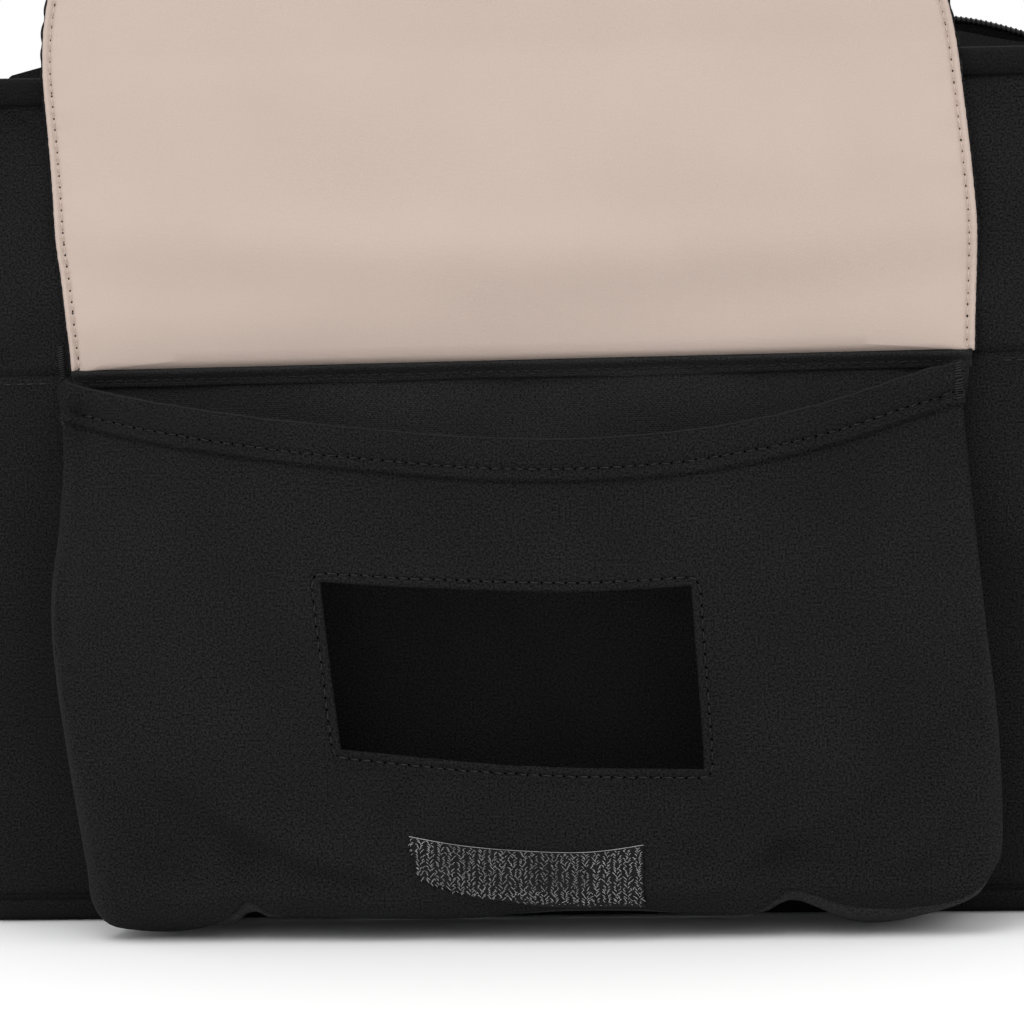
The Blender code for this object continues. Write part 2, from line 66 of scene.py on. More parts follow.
# The body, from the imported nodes
HALF_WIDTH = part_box("side_panel_right")[1].x
HALF_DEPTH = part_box("back_panel")[1].y
RIM_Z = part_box("back_panel")[1].z
SEAM_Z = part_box("front_panel_upper")[0].z
RIM_HALF_DEPTH = 59.2 * MM
CORNER = 17 * MM
SHELL = 0.9 * MM
FOAM = 3.0 * MM
LINING = 0.4 * MM
LINING_DEPTH = 5.4 * MM
BINDING_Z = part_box("base_binding")[0].z + 1.5 * MM
BAND_LOW_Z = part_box("rim_band")[0].z
PANELS = ("front", "right", "back", "left")

# The roof and its zip
ROOF_HALF_DEPTH = 57.5 * MM
RIDGE_RISE = 11 * MM
COIL_RADIUS = 1.25 * MM
COIL_PITCH = 1.5 * MM
TURN_POINTS = 12  # on each turn of the coil
COIL_Y = 1.2 * MM
TAPE_HALF_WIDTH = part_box("zip_tape_left")[1].y
SLOT = 6.5 * MM  # from the ridge to the hem of each half
ROOF_LINING_HALF_LENGTH = 158 * MM
LEAF_HALF_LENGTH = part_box("top_panel_front")[1].x
BEND_END = 95.5 * MM  # where the span given with each quarter of the roof starts; it runs to the leaf's end
ZIP_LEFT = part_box("zip_tape_left")[0].x
ZIP_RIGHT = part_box("zip_tape_right")[1].x

# The pocket
POCKET_BACK = -HALF_DEPTH - 1.2 * MM
POCKET_DEPTH = -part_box("pocket_front")[0].y + POCKET_BACK
STITCH_PITCH = 3.4 * MM
LINE_STEP = 1.1 * MM  # between the points along an edge or a row of stitches

# The threads, from the heavy one in the body's seams to the fine one in the lining
HEAVY_THREAD = 0.23 * MM
THREAD = 0.22 * MM
FINE_THREAD = 0.2 * MM
NEEDLE_HOLE = 0.34 * MM

# The flap
HINGE = Vector(next(joint["pos_m"] for joint in frame["joints"] if joint["name"] == "flap_fold"))
FLAP_LEAN = math.radians(5)
FLAP_LENGTH = 198 * MM
FLAP_FOLD = 40 * MM
FLAP_BEND = 18 * MM  # how far to each side of the fold the span given with the flap's pieces reaches
FLAP_ROOT = 131.5 * MM
FLAP_WIDEST = 134 * MM
FLAP_ARC_START = 84 * MM
FLAP_STITCH_IN = 2.4 * MM
FLAP_BELLY_END = 92 * MM

scene = bpy.context.scene


# ---------------------------------------------------------------- numbers

def smooth(t):
    t = np.clip(t, 0.0, 1.0)
    return t * t * (3 - 2 * t)


def ridge(distance, width):
    """A soft ridge of height 1 where the distance is 0."""
    return np.exp(-((distance / width) ** 2))


def ripple(x, y, size, seed, waves=8):
    """Gentle unevenness, mostly between -1 and 1: a sum of plane waves of about that size."""
    random = np.random.default_rng(seed)
    total = np.zeros(np.broadcast(x, y).shape)
    for _ in range(waves):
        angle, phase = random.uniform(0, 2 * math.pi, 2)
        length = size * random.uniform(0.7, 1.7)
        total += np.sin((x * math.cos(angle) + y * math.sin(angle)) * 2 * math.pi / length + phase)
    return total / math.sqrt(waves)


def curve_through(points, step, closed=False):
    """A smooth line through the points, as an array with a point about every step."""
    points = np.array(points, float)
    count = len(points)
    spans = count if closed else count - 1
    found = []
    for i in range(spans):
        if closed:
            p0, p1, p2, p3 = (points[(i + k) % count] for k in (-1, 0, 1, 2))
        else:
            p0, p1, p2, p3 = (points[min(max(i + k, 0), count - 1)] for k in (-1, 0, 1, 2))
        n = max(1, int(np.linalg.norm(p2 - p1) / (step / 4)))
        t = (np.arange(n) / n)[:, None]
        square, cube = 2 * p0 - 5 * p1 + 4 * p2 - p3, 3 * p1 - p0 - 3 * p2 + p3
        found.append(0.5 * (2 * p1 + (p2 - p0) * t + square * t**2 + cube * t**3))
    if not closed:
        found.append(points[-1:])
    return even(np.concatenate(found), step, closed)


def run_along(line):
    """How far along the line each of its points is."""
    return np.concatenate([[0], np.cumsum(np.linalg.norm(np.diff(line, axis=0), axis=1))])


def directions(line, closed=False):
    """The unit vector along the line at each of its points."""
    if closed:
        along = np.roll(line, -1, axis=0) - np.roll(line, 1, axis=0)
    else:
        along = np.gradient(line, axis=0)
    return along / np.linalg.norm(along, axis=1)[:, None]


def even(line, step, closed=False):
    """The line with its points the same distance apart, about the step."""
    ends = np.concatenate([line, line[:1]]) if closed else line
    run = run_along(ends)
    count = max(2, round(run[-1] / step))
    at = np.linspace(0, run[-1], count + 1)
    if closed:
        at = at[:-1]
    return np.stack([np.interp(at, run, ends[:, k]) for k in range(line.shape[1])], axis=1)


def nearest(line, points, closed=False):
    """Each point's distance from the line, and how far along the line its nearest place is."""
    start = line if closed else line[:-1]
    end = np.roll(line, -1, axis=0) if closed else line[1:]
    span = end - start
    length = np.linalg.norm(span, axis=1)
    before = np.concatenate([[0], np.cumsum(length)[:-1]])
    distance, run = np.empty(len(points)), np.empty(len(points))
    for low in range(0, len(points), 1500):
        part = points[low : low + 1500, None, :] - start[None]
        share = np.clip((part * span).sum(2) / np.maximum(length**2, 1e-18), 0, 1)
        gap = np.linalg.norm(part - share[..., None] * span, axis=2)
        best = gap.argmin(axis=1)
        row = np.arange(len(best))
        distance[low : low + 1500] = gap[row, best]
        run[low : low + 1500] = before[best] + share[row, best] * length[best]
    return distance, run


def beside(line, offset, closed=False):
    """The line moved to its left, without the places where it would cross itself."""
    along = directions(line, closed)
    moved = line + offset * np.stack([-along[:, 1], along[:, 0]], axis=1)
    distance, _ = nearest(line, moved, closed)
    return moved[distance > abs(offset) * 0.93]


def inside(loop, points):
    """Which of the points the closed loop goes round."""
    found = np.zeros(len(points), bool)
    for (ax, ay), (bx, by) in zip(loop, np.roll(loop, -1, axis=0)):
        if ay == by:
            continue
        crosses = (ay > points[:, 1]) != (by > points[:, 1])
        found ^= crosses & (points[:, 0] < (bx - ax) * (points[:, 1] - ay) / (by - ay) + ax)
    return found


# ---------------------------------------------------------------- meshes

def make_object(name, points, faces, corner_uvs, finish):
    """A smooth mesh object. corner_uvs has a row for each corner of each face, in order."""
    mesh = bpy.data.meshes.new(name)
    mesh.from_pydata(np.asarray(points, float).tolist(), [], faces)
    layer = mesh.uv_layers.new(name="pattern")
    layer.data.foreach_set("uv", np.asarray(corner_uvs, np.float32).ravel())
    mesh.shade_smooth()
    mesh.materials.append(finish)
    obj = bpy.data.objects.new(name, mesh)
    scene.collection.objects.link(obj)
    return obj


def lattice_faces(rows, columns, wrap=False):
    """Quads over rows x columns points, and each corner's (row, column), past the last one where it wraps."""
    span = columns if wrap else columns - 1
    r, c = np.meshgrid(np.arange(rows - 1), np.arange(span), indexing="ij")
    r, c = r.ravel(), c.ravel()
    corners = np.stack([np.stack([r + i, c + j]) for i, j in ((0, 0), (0, 1), (1, 1), (1, 0))])
    corners = corners.transpose(2, 0, 1)
    return corners[..., 0] * columns + corners[..., 1] % columns, corners


def lattice(name, points, finish, wrap=False, thickness=0.0, flip=False):
    """A cloth of rows x columns points. Its UVs are the lengths along its middle row and column."""
    rows, columns = points.shape[:2]
    faces, corners = lattice_faces(rows, columns, wrap)
    middle = points[rows // 2]
    if wrap:
        middle = np.concatenate([middle, middle[:1]])
    across = run_along(middle)
    up = run_along(points[:, columns // 2])
    uvs = np.stack([across[corners[..., 1]], up[corners[..., 0]]], axis=-1)
    if flip:
        faces, uvs = faces[:, ::-1], uvs[:, ::-1]
    obj = make_object(name, points.reshape(-1, 3), faces.tolist(), uvs.reshape(-1, 2), finish)
    return thicken(obj, thickness)


def thicken(obj, thickness):
    if thickness:
        solid = obj.modifiers.new("thickness", "SOLIDIFY")
        solid.thickness = thickness
        solid.offset = -1
    return obj


def cut(outline, holes, rows, step):
    """Points and triangles of a flat piece.

    Beside each line in rows go closer points: (line, closed, ((offset, pitch), ...)).
    """
    loops = [outline, *holes]
    extra = []
    for line, closed, offsets in rows:
        for offset, pitch in offsets:
            found = beside(line, offset, closed)
            if len(found) > 2:
                extra.append(found[:: max(1, round(pitch / np.linalg.norm(line[1] - line[0])))])
    low, high = outline.min(axis=0), outline.max(axis=0)
    across = np.arange(low[0], high[0], step)
    up = np.arange(low[1], high[1], step * math.sqrt(3) / 2)
    grid = np.array([(x + (step / 2 if j % 2 else 0), y) for j, y in enumerate(up) for x in across])
    close = np.concatenate([*loops, *extra])
    tree = kdtree.KDTree(len(close))
    for i, (x, y) in enumerate(close):
        tree.insert((x, y, 0), i)
    tree.balance()
    grid = grid[[tree.find((x, y, 0))[2] > 0.75 * step for x, y in grid]]
    points = np.concatenate([*extra, grid]) if extra else grid
    keep = inside(outline, points)
    for hole in holes:
        keep &= ~inside(hole, points)
    for loop in loops:
        keep &= nearest(loop, points, True)[0] > 0.3 * MM
    vertices, edges = [], []
    for loop in loops:
        first = len(vertices)
        vertices += [Vector(p) for p in loop]
        edges += [(first + i, first + (i + 1) % len(loop)) for i in range(len(loop))]
    vertices += [Vector(p) for p in points[keep]]
    found = geometry.delaunay_2d_cdt(vertices, edges, [], 0, 1e-7)
    flat = np.array([tuple(v) for v in found[0]])
    triangles = np.array(found[2])
    middle = flat[triangles].mean(axis=1)
    keep = inside(outline, middle)
    for hole in holes:
        keep &= ~inside(hole, middle)
    triangles = triangles[keep]
    a, b, c = (flat[triangles[:, k]] for k in range(3))
    turned = (b[:, 0] - a[:, 0]) * (c[:, 1] - a[:, 1]) - (b[:, 1] - a[:, 1]) * (c[:, 0] - a[:, 0])
    triangles[turned < 0] = triangles[turned < 0][:, ::-1]
    triangles = triangles[np.abs(turned) > 1e-12]
    used, renumbered = np.unique(triangles, return_inverse=True)
    return flat[used], renumbered.reshape(-1, 3)


def laid(place, relief, flat, lift=0.0):
    """Where flat points come to lie: placed, then moved along the normal by the relief and the lift."""
    step = 0.2 * MM
    u, v = flat[:, 0], flat[:, 1]
    here = place(u, v)
    normal = np.cross(place(u + step, v) - place(u - step, v), place(u, v + step) - place(u, v - step))
    normal /= np.linalg.norm(normal, axis=1)[:, None]
    height = relief(flat) + lift if relief else np.full(len(flat), lift)
    return here + normal * height[:, None]


def sheet_object(name, flat, triangles, place, relief, finish, thickness=0.0, flip=False):
    points = laid(place, relief, flat)
    faces = triangles[:, ::-1] if flip else triangles
    obj = make_object(name, points, faces.tolist(), flat[faces].reshape(-1, 2), finish)
    return thicken(obj, thickness)


def rings_along(path, radii, sides, closed):
    """A ring of points round each place on the path, turned as little as possible from one to the next."""
    path = np.asarray(path, float)
    along = directions(path, closed)
    out = np.zeros_like(path)
    start = np.array([0, 0, 1.0]) if abs(along[0][2]) < 0.9 else np.array([1.0, 0, 0])
    side = start - along[0] * (start @ along[0])
    for i, direction in enumerate(along):
        side = side - direction * (side @ direction)
        side /= np.linalg.norm(side)
        out[i] = side
    other = np.cross(along, out)
    angle = np.arange(sides) * 2 * math.pi / sides
    round_it = out[:, None] * np.cos(angle)[:, None] + other[:, None] * np.sin(angle)[:, None]
    return path[:, None] + round_it * np.broadcast_to(radii, len(path))[:, None, None]


def tube(name, path, radii, sides, finish, closed=False):
    """A round tube with closed ends, or a ring."""
    points = rings_along(path, radii, sides, closed)
    count = len(points)
    faces, corners = lattice_faces(count + (1 if closed else 0), sides, True)
    faces = faces % (count * sides)
    uvs = np.stack([corners[..., 1] / sides * 5 * MM, corners[..., 0] * MM], axis=-1).reshape(-1, 2)
    faces = faces[:, ::-1].tolist()
    uvs = uvs.reshape(-1, 4, 2)[:, ::-1].reshape(-1, 2)
    if not closed:
        caps = [list(range(sides)), list(range(count * sides - 1, (count - 1) * sides - 1, -1))]
        faces += caps
        uvs = np.concatenate([uvs, np.zeros((2 * sides, 2))])
    return make_object(name, points.reshape(-1, 3), faces, uvs, finish)


def joined(name, objects):
    """One object from several."""
    bpy.ops.object.select_all(action="DESELECT")
    for obj in objects:
        obj.select_set(True)
    bpy.context.view_layer.objects.active = objects[0]
    bpy.ops.object.join()
    objects[0].name = name
    objects[0].data.name = name
    return objects[0]


def many_tubes(name, paths, radius, sides, finish, taper=0.6):
    """Short threads or hooks as one mesh. paths is an array of count x points x 3."""
    paths = np.asarray(paths, float)
    count, length = paths.shape[:2]
    along = np.gradient(paths, axis=1)
    along /= np.maximum(np.linalg.norm(along, axis=2), 1e-12)[..., None]
    reference = np.cross(along[:, :1], along[:, -1:])
    weak = np.linalg.norm(reference, axis=2)[..., None] < 1e-3
    reference = np.where(weak, np.cross(along[:, :1], np.array([0.3, 0.9, 0.31])), reference)
    side = reference - along * (reference * along).sum(2)[..., None]
    side /= np.maximum(np.linalg.norm(side, axis=2), 1e-12)[..., None]
    other = np.cross(along, side)
    angle = np.arange(sides) * 2 * math.pi / sides
    width = np.full(length, radius)
    width[[0, -1]] *= taper
    circle = side[:, :, None] * np.cos(angle)[:, None] + other[:, :, None] * np.sin(angle)[:, None]
    points = paths[:, :, None] + circle * width[:, None, None]
    each, corners = lattice_faces(length, sides, True)
    faces = (each[None, :, ::-1] + (np.arange(count) * length * sides)[:, None, None]).reshape(-1, 4).tolist()
    low = np.arange(sides)
    high = np.arange((length - 1) * sides, length * sides)[::-1]
    for i in range(count):
        faces.append((low + i * length * sides).tolist())
        faces.append((high + i * length * sides).tolist())
    quads = count * len(each) * 4
    uvs = np.zeros((quads + count * 2 * sides, 2))
    uvs[:quads] = np.tile(corners[:, ::-1].reshape(-1, 2) * 0.4 * MM, (count, 1))
    return make_object(name, points.reshape(-1, 3), faces, uvs, finish)


def stitch_paths(line, lie, pitch=STITCH_PITCH, length=2.5 * MM, rise=0.16 * MM, seed=1):
    """The thread of each stitch along a flat line: it comes out of the cloth, lies on it and goes back in."""
    random = np.random.default_rng(seed)
    run = run_along(line)
    centres = np.arange(pitch / 2, run[-1], pitch)
    centres = centres + random.normal(0, 0.06 * pitch, len(centres))
    shares = np.array([-0.5, -0.28, 0, 0.28, 0.5])
    lifts = np.array([-1.6, 0.75, 1.0, 0.75, -1.6]) * rise
    drift = random.normal(0, 0.07 * MM, (len(centres), 2))
    paths = []
    for share, lift in zip(shares, lifts):
        at = centres + share * length
        flat = np.stack([np.interp(at, run, line[:, 0]), np.interp(at, run, line[:, 1])], axis=1)
        paths.append(lie(flat + drift * (1 if share > 0 else -1), lift))
    return np.stack(paths, axis=1)


def straight(*points):
    """A broken line through those points, close enough for stitches and reliefs."""
    return even(np.array(points, float), LINE_STEP)


def settled(
    points, pinned, wrap=False, pressure=0.0, gravity=0.0, slack=0.0, cap=4 * MM, frames=20, bending=2.0,
    holes=None,
):
    """How far each point of a lattice of cloth moves as Blender's cloth simulation lets it settle."""
    rows, columns = points.shape[:2]
    faces, _ = lattice_faces(rows, columns, wrap)
    if holes is not None:
        faces = faces[~holes.ravel()[faces].any(axis=1)]
    mesh = bpy.data.meshes.new("settling")
    mesh.from_pydata(points.reshape(-1, 3).tolist(), [], faces.tolist())
    obj = bpy.data.objects.new("settling", mesh)
    scene.collection.objects.link(obj)
    group = obj.vertex_groups.new(name="sewn")
    hold = pinned.ravel() if holes is None else (pinned | holes).ravel()
    group.add(np.flatnonzero(hold).tolist(), 1.0, "REPLACE")
    cloth = obj.modifiers.new("settle", "CLOTH")
    settings = cloth.settings
    settings.quality = 7
    settings.mass = 0.25
    settings.air_damping = 2.0
    settings.tension_stiffness = 25
    settings.compression_stiffness = 25
    settings.shear_stiffness = 12
    settings.bending_stiffness = bending
    settings.vertex_group_mass = "sewn"
    settings.shrink_min = -slack
    settings.use_pressure = pressure > 0
    settings.uniform_pressure_force = pressure
    settings.effector_weights.gravity = gravity
    cloth.collision_settings.use_collision = False
    cloth.point_cache.frame_start = 1
    cloth.point_cache.frame_end = frames
    for number in range(1, frames + 1):
        scene.frame_set(number)
    evaluated = obj.evaluated_get(bpy.context.evaluated_depsgraph_get())
    after = np.empty(rows * columns * 3)
    evaluated.data.vertices.foreach_get("co", after)
    moved = after.reshape(points.shape) - points
    far = np.linalg.norm(moved, axis=2)
    moved *= (np.minimum(far, cap) / np.maximum(far, 1e-9))[..., None]
    bpy.data.objects.remove(obj)
    scene.frame_set(1)
    return moved


class Field:
    """Moves known on a regular lattice over two coordinates, read anywhere between."""

    def __init__(self, low, high, moves):
        self.low, self.high, self.moves = low, high, moves

    def at(self, u, v):
        rows, columns = self.moves.shape[:2]
        c = np.clip((u - self.low[0]) / (self.high[0] - self.low[0]), 0, 1) * (columns - 1)
        r = np.clip((v - self.low[1]) / (self.high[1] - self.low[1]), 0, 1) * (rows - 1)
        c0, r0 = np.minimum(c.astype(int), columns - 2), np.minimum(r.astype(int), rows - 2)
        fc, fr = (c - c0)[..., None], (r - r0)[..., None]
        m = self.moves
        low = m[r0, c0] * (1 - fc) + m[r0, c0 + 1] * fc
        high = m[r0 + 1, c0] * (1 - fc) + m[r0 + 1, c0 + 1] * fc
        return low * (1 - fr) + high * fr


# ---------------------------------------------------------------- materials

def add_node(tree, kind, inputs=None, **attributes):
    node = tree.nodes.new(kind)
    for key, value in attributes.items():
        setattr(node, key, value)
    for key, value in (inputs or {}).items():
        if isinstance(value, bpy.types.NodeSocket):
            tree.links.new(value, node.inputs[key])
        else:
            node.inputs[key].default_value = value
    return node


def start_material(name, settings):
    made = bpy.data.materials.new(name)
    made.use_nodes = True
    shader = made.node_tree.nodes["Principled BSDF"]
    for key, value in settings.items():
        shader.inputs[key].default_value = value
    return made, made.node_tree, shader


def scaled(tree, source, by):
    scale = (by, by, by) if not hasattr(by, "__len__") else by
    return add_node(tree, "ShaderNodeMapping", {"Vector": source, "Scale": scale}).outputs["Vector"]


def tones(tree, value, dark, light, low=0.3, high=0.7):
    ramp = add_node(tree, "ShaderNodeValToRGB", {"Fac": value})
    ramp.color_ramp.elements[0].position = low
    ramp.color_ramp.elements[0].color = (*dark, 1)
    ramp.color_ramp.elements[1].position = high
    ramp.color_ramp.elements[1].color = (*light, 1)
    return ramp.outputs["Color"]


def mixed(tree, a, b, factor, mode="MIX"):
    mix = add_node(tree, "ShaderNodeMix", {0: factor, 6: a, 7: b}, data_type="RGBA", blend_type=mode)
    return mix.outputs[2]


def noise(tree, vector, size, **inputs):
    """Noise of about that size."""
    inputs = {"Vector": scaled(tree, vector, 1 / size), "Scale": 1.0, **inputs}
    return add_node(tree, "ShaderNodeTexNoise", inputs)


def threads_along(tree, threads, direction, distortion=0.0):
    """Rounded threads, one to each unit of the vector in that direction."""
    inputs = {"Vector": threads, "Scale": math.pi / 10, "Distortion": distortion}
    return add_node(tree, "ShaderNodeTexWave", inputs, bands_direction=direction).outputs["Color"]


def bump(tree, height, strength, distance, **inputs):
    inputs = {"Height": height, "Strength": strength, "Distance": distance, **inputs}
    return add_node(tree, "ShaderNodeBump", inputs).outputs["Normal"]


def vary_roughness(tree, shader, patches, by):
    """Lets the roughness wander by that much to each side of the shader's own."""
    rough = shader.inputs["Roughness"].default_value
    ends = {"To Min": max(0.0, rough - by), "To Max": min(1.0, rough + by)}
    spread = add_node(tree, "ShaderNodeMapRange", {"Value": patches.outputs["Fac"], **ends})
    tree.links.new(spread.outputs["Result"], shader.inputs["Roughness"])


def cloth_material(
    name, dark, light, pitch, weave=0.35, grain=0.3, grain_size=0.45 * MM, blotch=0.25, settings=None
):
    """Woven cloth: threads of that pitch, a fine grain, and slow changes of tone and roughness."""
    made, tree, shader = start_material(name, settings or {})
    pattern = add_node(tree, "ShaderNodeUVMap", uv_map="pattern").outputs["UV"]
    threads = scaled(tree, pattern, 1 / pitch)
    warp, weft = threads_along(tree, threads, "X"), threads_along(tree, threads, "Y")
    over = add_node(tree, "ShaderNodeTexChecker", {"Vector": threads, "Scale": 1.0}).outputs["Fac"]
    woven = mixed(tree, warp, weft, over)
    fuzz = noise(tree, pattern, grain_size, Detail=3.0, Roughness=0.65)
    patches = noise(tree, pattern, 38 * MM, Detail=4.0)
    base = tones(tree, fuzz.outputs["Fac"], dark, light, 0.36, 0.64)
    worn = tones(tree, patches.outputs["Fac"], (1 - blotch,) * 3, (1 + blotch * 0.4,) * 3)
    tree.links.new(mixed(tree, base, worn, 1.0, "MULTIPLY"), shader.inputs["Base Color"])
    woven_bump = bump(tree, woven, weave, 0.12 * MM)
    both = bump(tree, fuzz.outputs["Fac"], grain, 0.28 * MM, Normal=woven_bump)
    tree.links.new(both, shader.inputs["Normal"])
    vary_roughness(tree, shader, patches, 0.06)
    return made


def webbing_material(name, dark, light):
    """Ribbed narrow webbing: thick ribs along it crossed by a fine weft."""
    settings = {"Roughness": 0.62, "Sheen Weight": 0.15, "Specular IOR Level": 0.4}
    made, tree, shader = start_material(name, settings)
    pattern = add_node(tree, "ShaderNodeUVMap", uv_map="pattern").outputs["UV"]
    ribs = threads_along(tree, scaled(tree, pattern, 1 / (1.1 * MM)), "X", 0.6)
    weft = threads_along(tree, scaled(tree, pattern, 1 / (0.6 * MM)), "Y")
    both = mixed(tree, ribs, weft, 0.4)
    tree.links.new(tones(tree, both, dark, light, 0.1, 0.9), shader.inputs["Base Color"])
    tree.links.new(bump(tree, both, 0.7, 0.3 * MM), shader.inputs["Normal"])
    return made


def grained_material(name, dark, light, size, relief=0.2, settings=None):
    """A material without a weave: nylon, foam, board, thread or metal, with a fine grain and some wear."""
    made, tree, shader = start_material(name, settings or {})
    place = add_node(tree, "ShaderNodeTexCoord").outputs["Object"]
    grain = noise(tree, place, size, Detail=3.0, Roughness=0.6)
    patches = noise(tree, place, size * 14, Detail=2.0)
    blend = mixed(tree, grain.outputs["Color"], patches.outputs["Color"], 0.5)
    tree.links.new(tones(tree, blend, dark, light, 0.35, 0.65), shader.inputs["Base Color"])
    tree.links.new(bump(tree, grain.outputs["Fac"], relief, size * 0.5), shader.inputs["Normal"])
    vary_roughness(tree, shader, patches, 0.08)
    return made


BLACK = cloth_material(
    "peached_black", (0.0002, 0.0002, 0.0002), (0.0184, 0.0184, 0.0186), 0.42 * MM, weave=0.6, grain=1.0,
    grain_size=0.62 * MM, settings={"Roughness": 0.86, "Specular IOR Level": 0.12},
)
# A lighter copy of the black cloth, as painted light. It goes where the cloth lies in shade: behind the
# pocket's mouth, on the bellows and on the flap's root band. It is also a painted highlight on the mouth's
# folded edge.
LIT_BLACK = cloth_material(
    "lit_black_painted_light", (0.003, 0.003, 0.003), (0.030, 0.030, 0.0303), 0.6 * MM, weave=0.9, grain=0.8,
    grain_size=0.62 * MM, settings={"Roughness": 0.8, "Specular IOR Level": 0.2},
)
TRIM = cloth_material(
    "black_binding", (0.0008, 0.0008, 0.0008), (0.0105, 0.0105, 0.0107), 0.5 * MM, weave=0.5, grain=0.9,
    grain_size=0.6 * MM, settings={"Roughness": 0.8, "Specular IOR Level": 0.1},
)
# A copy of the black cloth for the roof and the zip's end tabs, with no sheen or gloss and a tone of its own:
# painted shade, set for how light falls on the upward-facing roof.
ROOF_SHADE_BLACK = cloth_material(
    "roof_black_painted_shade", (0.0012, 0.0012, 0.0012), (0.024, 0.024, 0.0243), 0.42 * MM, weave=0.6, grain=1.0,
    grain_size=0.62 * MM, settings={"Roughness": 0.95, "Specular IOR Level": 0.0, "Sheen Weight": 0.0},
)
ZIP_TAPE = cloth_material(
    "zip_tape", (0.0004, 0.0004, 0.0004), (0.0075, 0.0075, 0.0077), 0.5 * MM, weave=0.5, grain=0.6,
    settings={"Roughness": 0.95, "Specular IOR Level": 0.0, "Sheen Weight": 0.0},
)
BEIGE = cloth_material(
    "beige_satin", (0.485, 0.386, 0.333), (0.525, 0.418, 0.362), 0.36 * MM,
    weave=0.22, grain=0.1, blotch=0.03,
    settings={"Roughness": 0.46, "Sheen Weight": 0.1, "Specular IOR Level": 0.35},
)
WEBBING = webbing_material("black_webbing", (0.007, 0.007, 0.0075), (0.022, 0.022, 0.023))
LOOP_PILE = cloth_material(
    "loop_pile", (0.008, 0.008, 0.008), (0.035, 0.035, 0.036), 0.9 * MM,
    weave=0.5, grain=1.0, grain_size=0.5 * MM,
    settings={"Roughness": 0.95, "Sheen Weight": 0.4},
)
FOAM_WHITE = grained_material(
    "open_foam", (0.70, 0.69, 0.66), (0.82, 0.81, 0.78), 0.8 * MM, 0.6, {"Roughness": 0.95}
)
BOARD_GREY = grained_material(
    "pressed_board", (0.22, 0.22, 0.23), (0.33, 0.33, 0.34), 0.5 * MM, 0.3, {"Roughness": 0.7}
)
HOOK_NYLON = grained_material(
    "hook_nylon", (0.06, 0.06, 0.06), (0.55, 0.55, 0.55), 0.7 * MM, 0.05,
    {"Roughness": 0.32, "Specular IOR Level": 0.5},
)
HOOK_BASE = grained_material(
    "hook_tape_base", (0.003, 0.003, 0.003), (0.012, 0.012, 0.012), 0.4 * MM, 0.4,
    {"Roughness": 0.75, "Specular IOR Level": 0.15},
)
ZIP_BLACK = grained_material(
    "zip_nylon", (0.003, 0.003, 0.0032), (0.009, 0.009, 0.0095), 0.5 * MM, 0.15,
    {"Roughness": 0.5, "Specular IOR Level": 0.25},
)
GUNMETAL = grained_material(
    "gunmetal", (0.035, 0.035, 0.038), (0.075, 0.075, 0.08), 0.6 * MM, 0.06,
    {"Roughness": 0.3, "Metallic": 1.0},
)
# The stitches' black thread, a little lighter than the cloth: partly its own tone, partly a painted highlight
# on the stitches.
BLACK_THREAD = grained_material(
    "black_thread", (0.009, 0.009, 0.0092), (0.022, 0.022, 0.0225), 0.3 * MM, 0.2,
    {"Roughness": 0.6, "Specular IOR Level": 0.25},
)
BEIGE_THREAD = grained_material(
    "beige_thread", (0.50, 0.41, 0.35), (0.64, 0.54, 0.47), 0.3 * MM, 0.2, {"Roughness": 0.5}
)
# The needle holes' dark plugs, on the black cloth and on the beige lining: painted shade for the holes.
HOLE_SHADE_BLACK = grained_material(
    "needle_hole_black", (0.0004, 0.0004, 0.0004), (0.0012, 0.0012, 0.0012), 0.3 * MM, 0.1,
    {"Roughness": 1.0, "Specular IOR Level": 0.0},
)
HOLE_SHADE_ON_LINING = grained_material(
    "needle_hole", (0.005, 0.004, 0.003), (0.02, 0.015, 0.012), 0.3 * MM, 0.1, {"Roughness": 0.9}
)


def finish_piece(obj, body, slot, *nodes):
    """Rides on a body, or, if body is (a, b, start, end), stays where it is with its transform baked in; and
    hides the nodes it stands for.
    """
    if isinstance(body, str):
        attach(obj, body)
    else:
        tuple(body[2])
        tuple(body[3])
        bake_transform(obj)
    if nodes:
        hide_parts(*nodes)
    return obj


# ---------------------------------------------------------------- body

def wall_half_depth(z):
    lean = np.clip((z - SEAM_Z) / (RIM_Z - SEAM_Z), 0, 1)
    return HALF_DEPTH + (RIM_HALF_DEPTH - HALF_DEPTH) * lean


def wall_line(q, z):
    """Where the plain wall is, which way it faces, its panel, how far along it, and the panel's length.

    q counts panels round from the front's left.
    """
    panel = np.floor(q).astype(int) % 4
    half_depth = wall_half_depth(z)
    wide = panel % 2 == 0
    half = np.where(wide, HALF_WIDTH, half_depth)
    across = np.where(wide, half_depth, HALF_WIDTH)
    total = 2 * (half - CORNER) + math.pi * CORNER / 2
    run = (q - np.floor(q) - 0.5) * total
    angle = np.clip(np.abs(run) - (half - CORNER), 0, None) / CORNER
    side = np.sign(run)
    x = np.where(angle > 0, side * (half - CORNER + CORNER * np.sin(angle)), run)
    y = -across + CORNER * (1 - np.cos(angle))
    nx, ny = side * np.sin(angle), -np.cos(angle)
    c = np.array([1, 0, -1, 0])[panel]
    s = np.array([0, 1, 0, -1])[panel]
    where = np.stack([x * c - y * s, x * s + y * c], axis=-1)
    facing = np.stack([nx * c - ny * s, nx * s + ny * c], axis=-1)
    return where, facing, panel, run, total


CROWN = np.array([0.8, 3.2, 3.4, 3.2]) * MM  # how far each panel swells: front, right, back, left
wall_moves = None  # known once settle_walls() has run


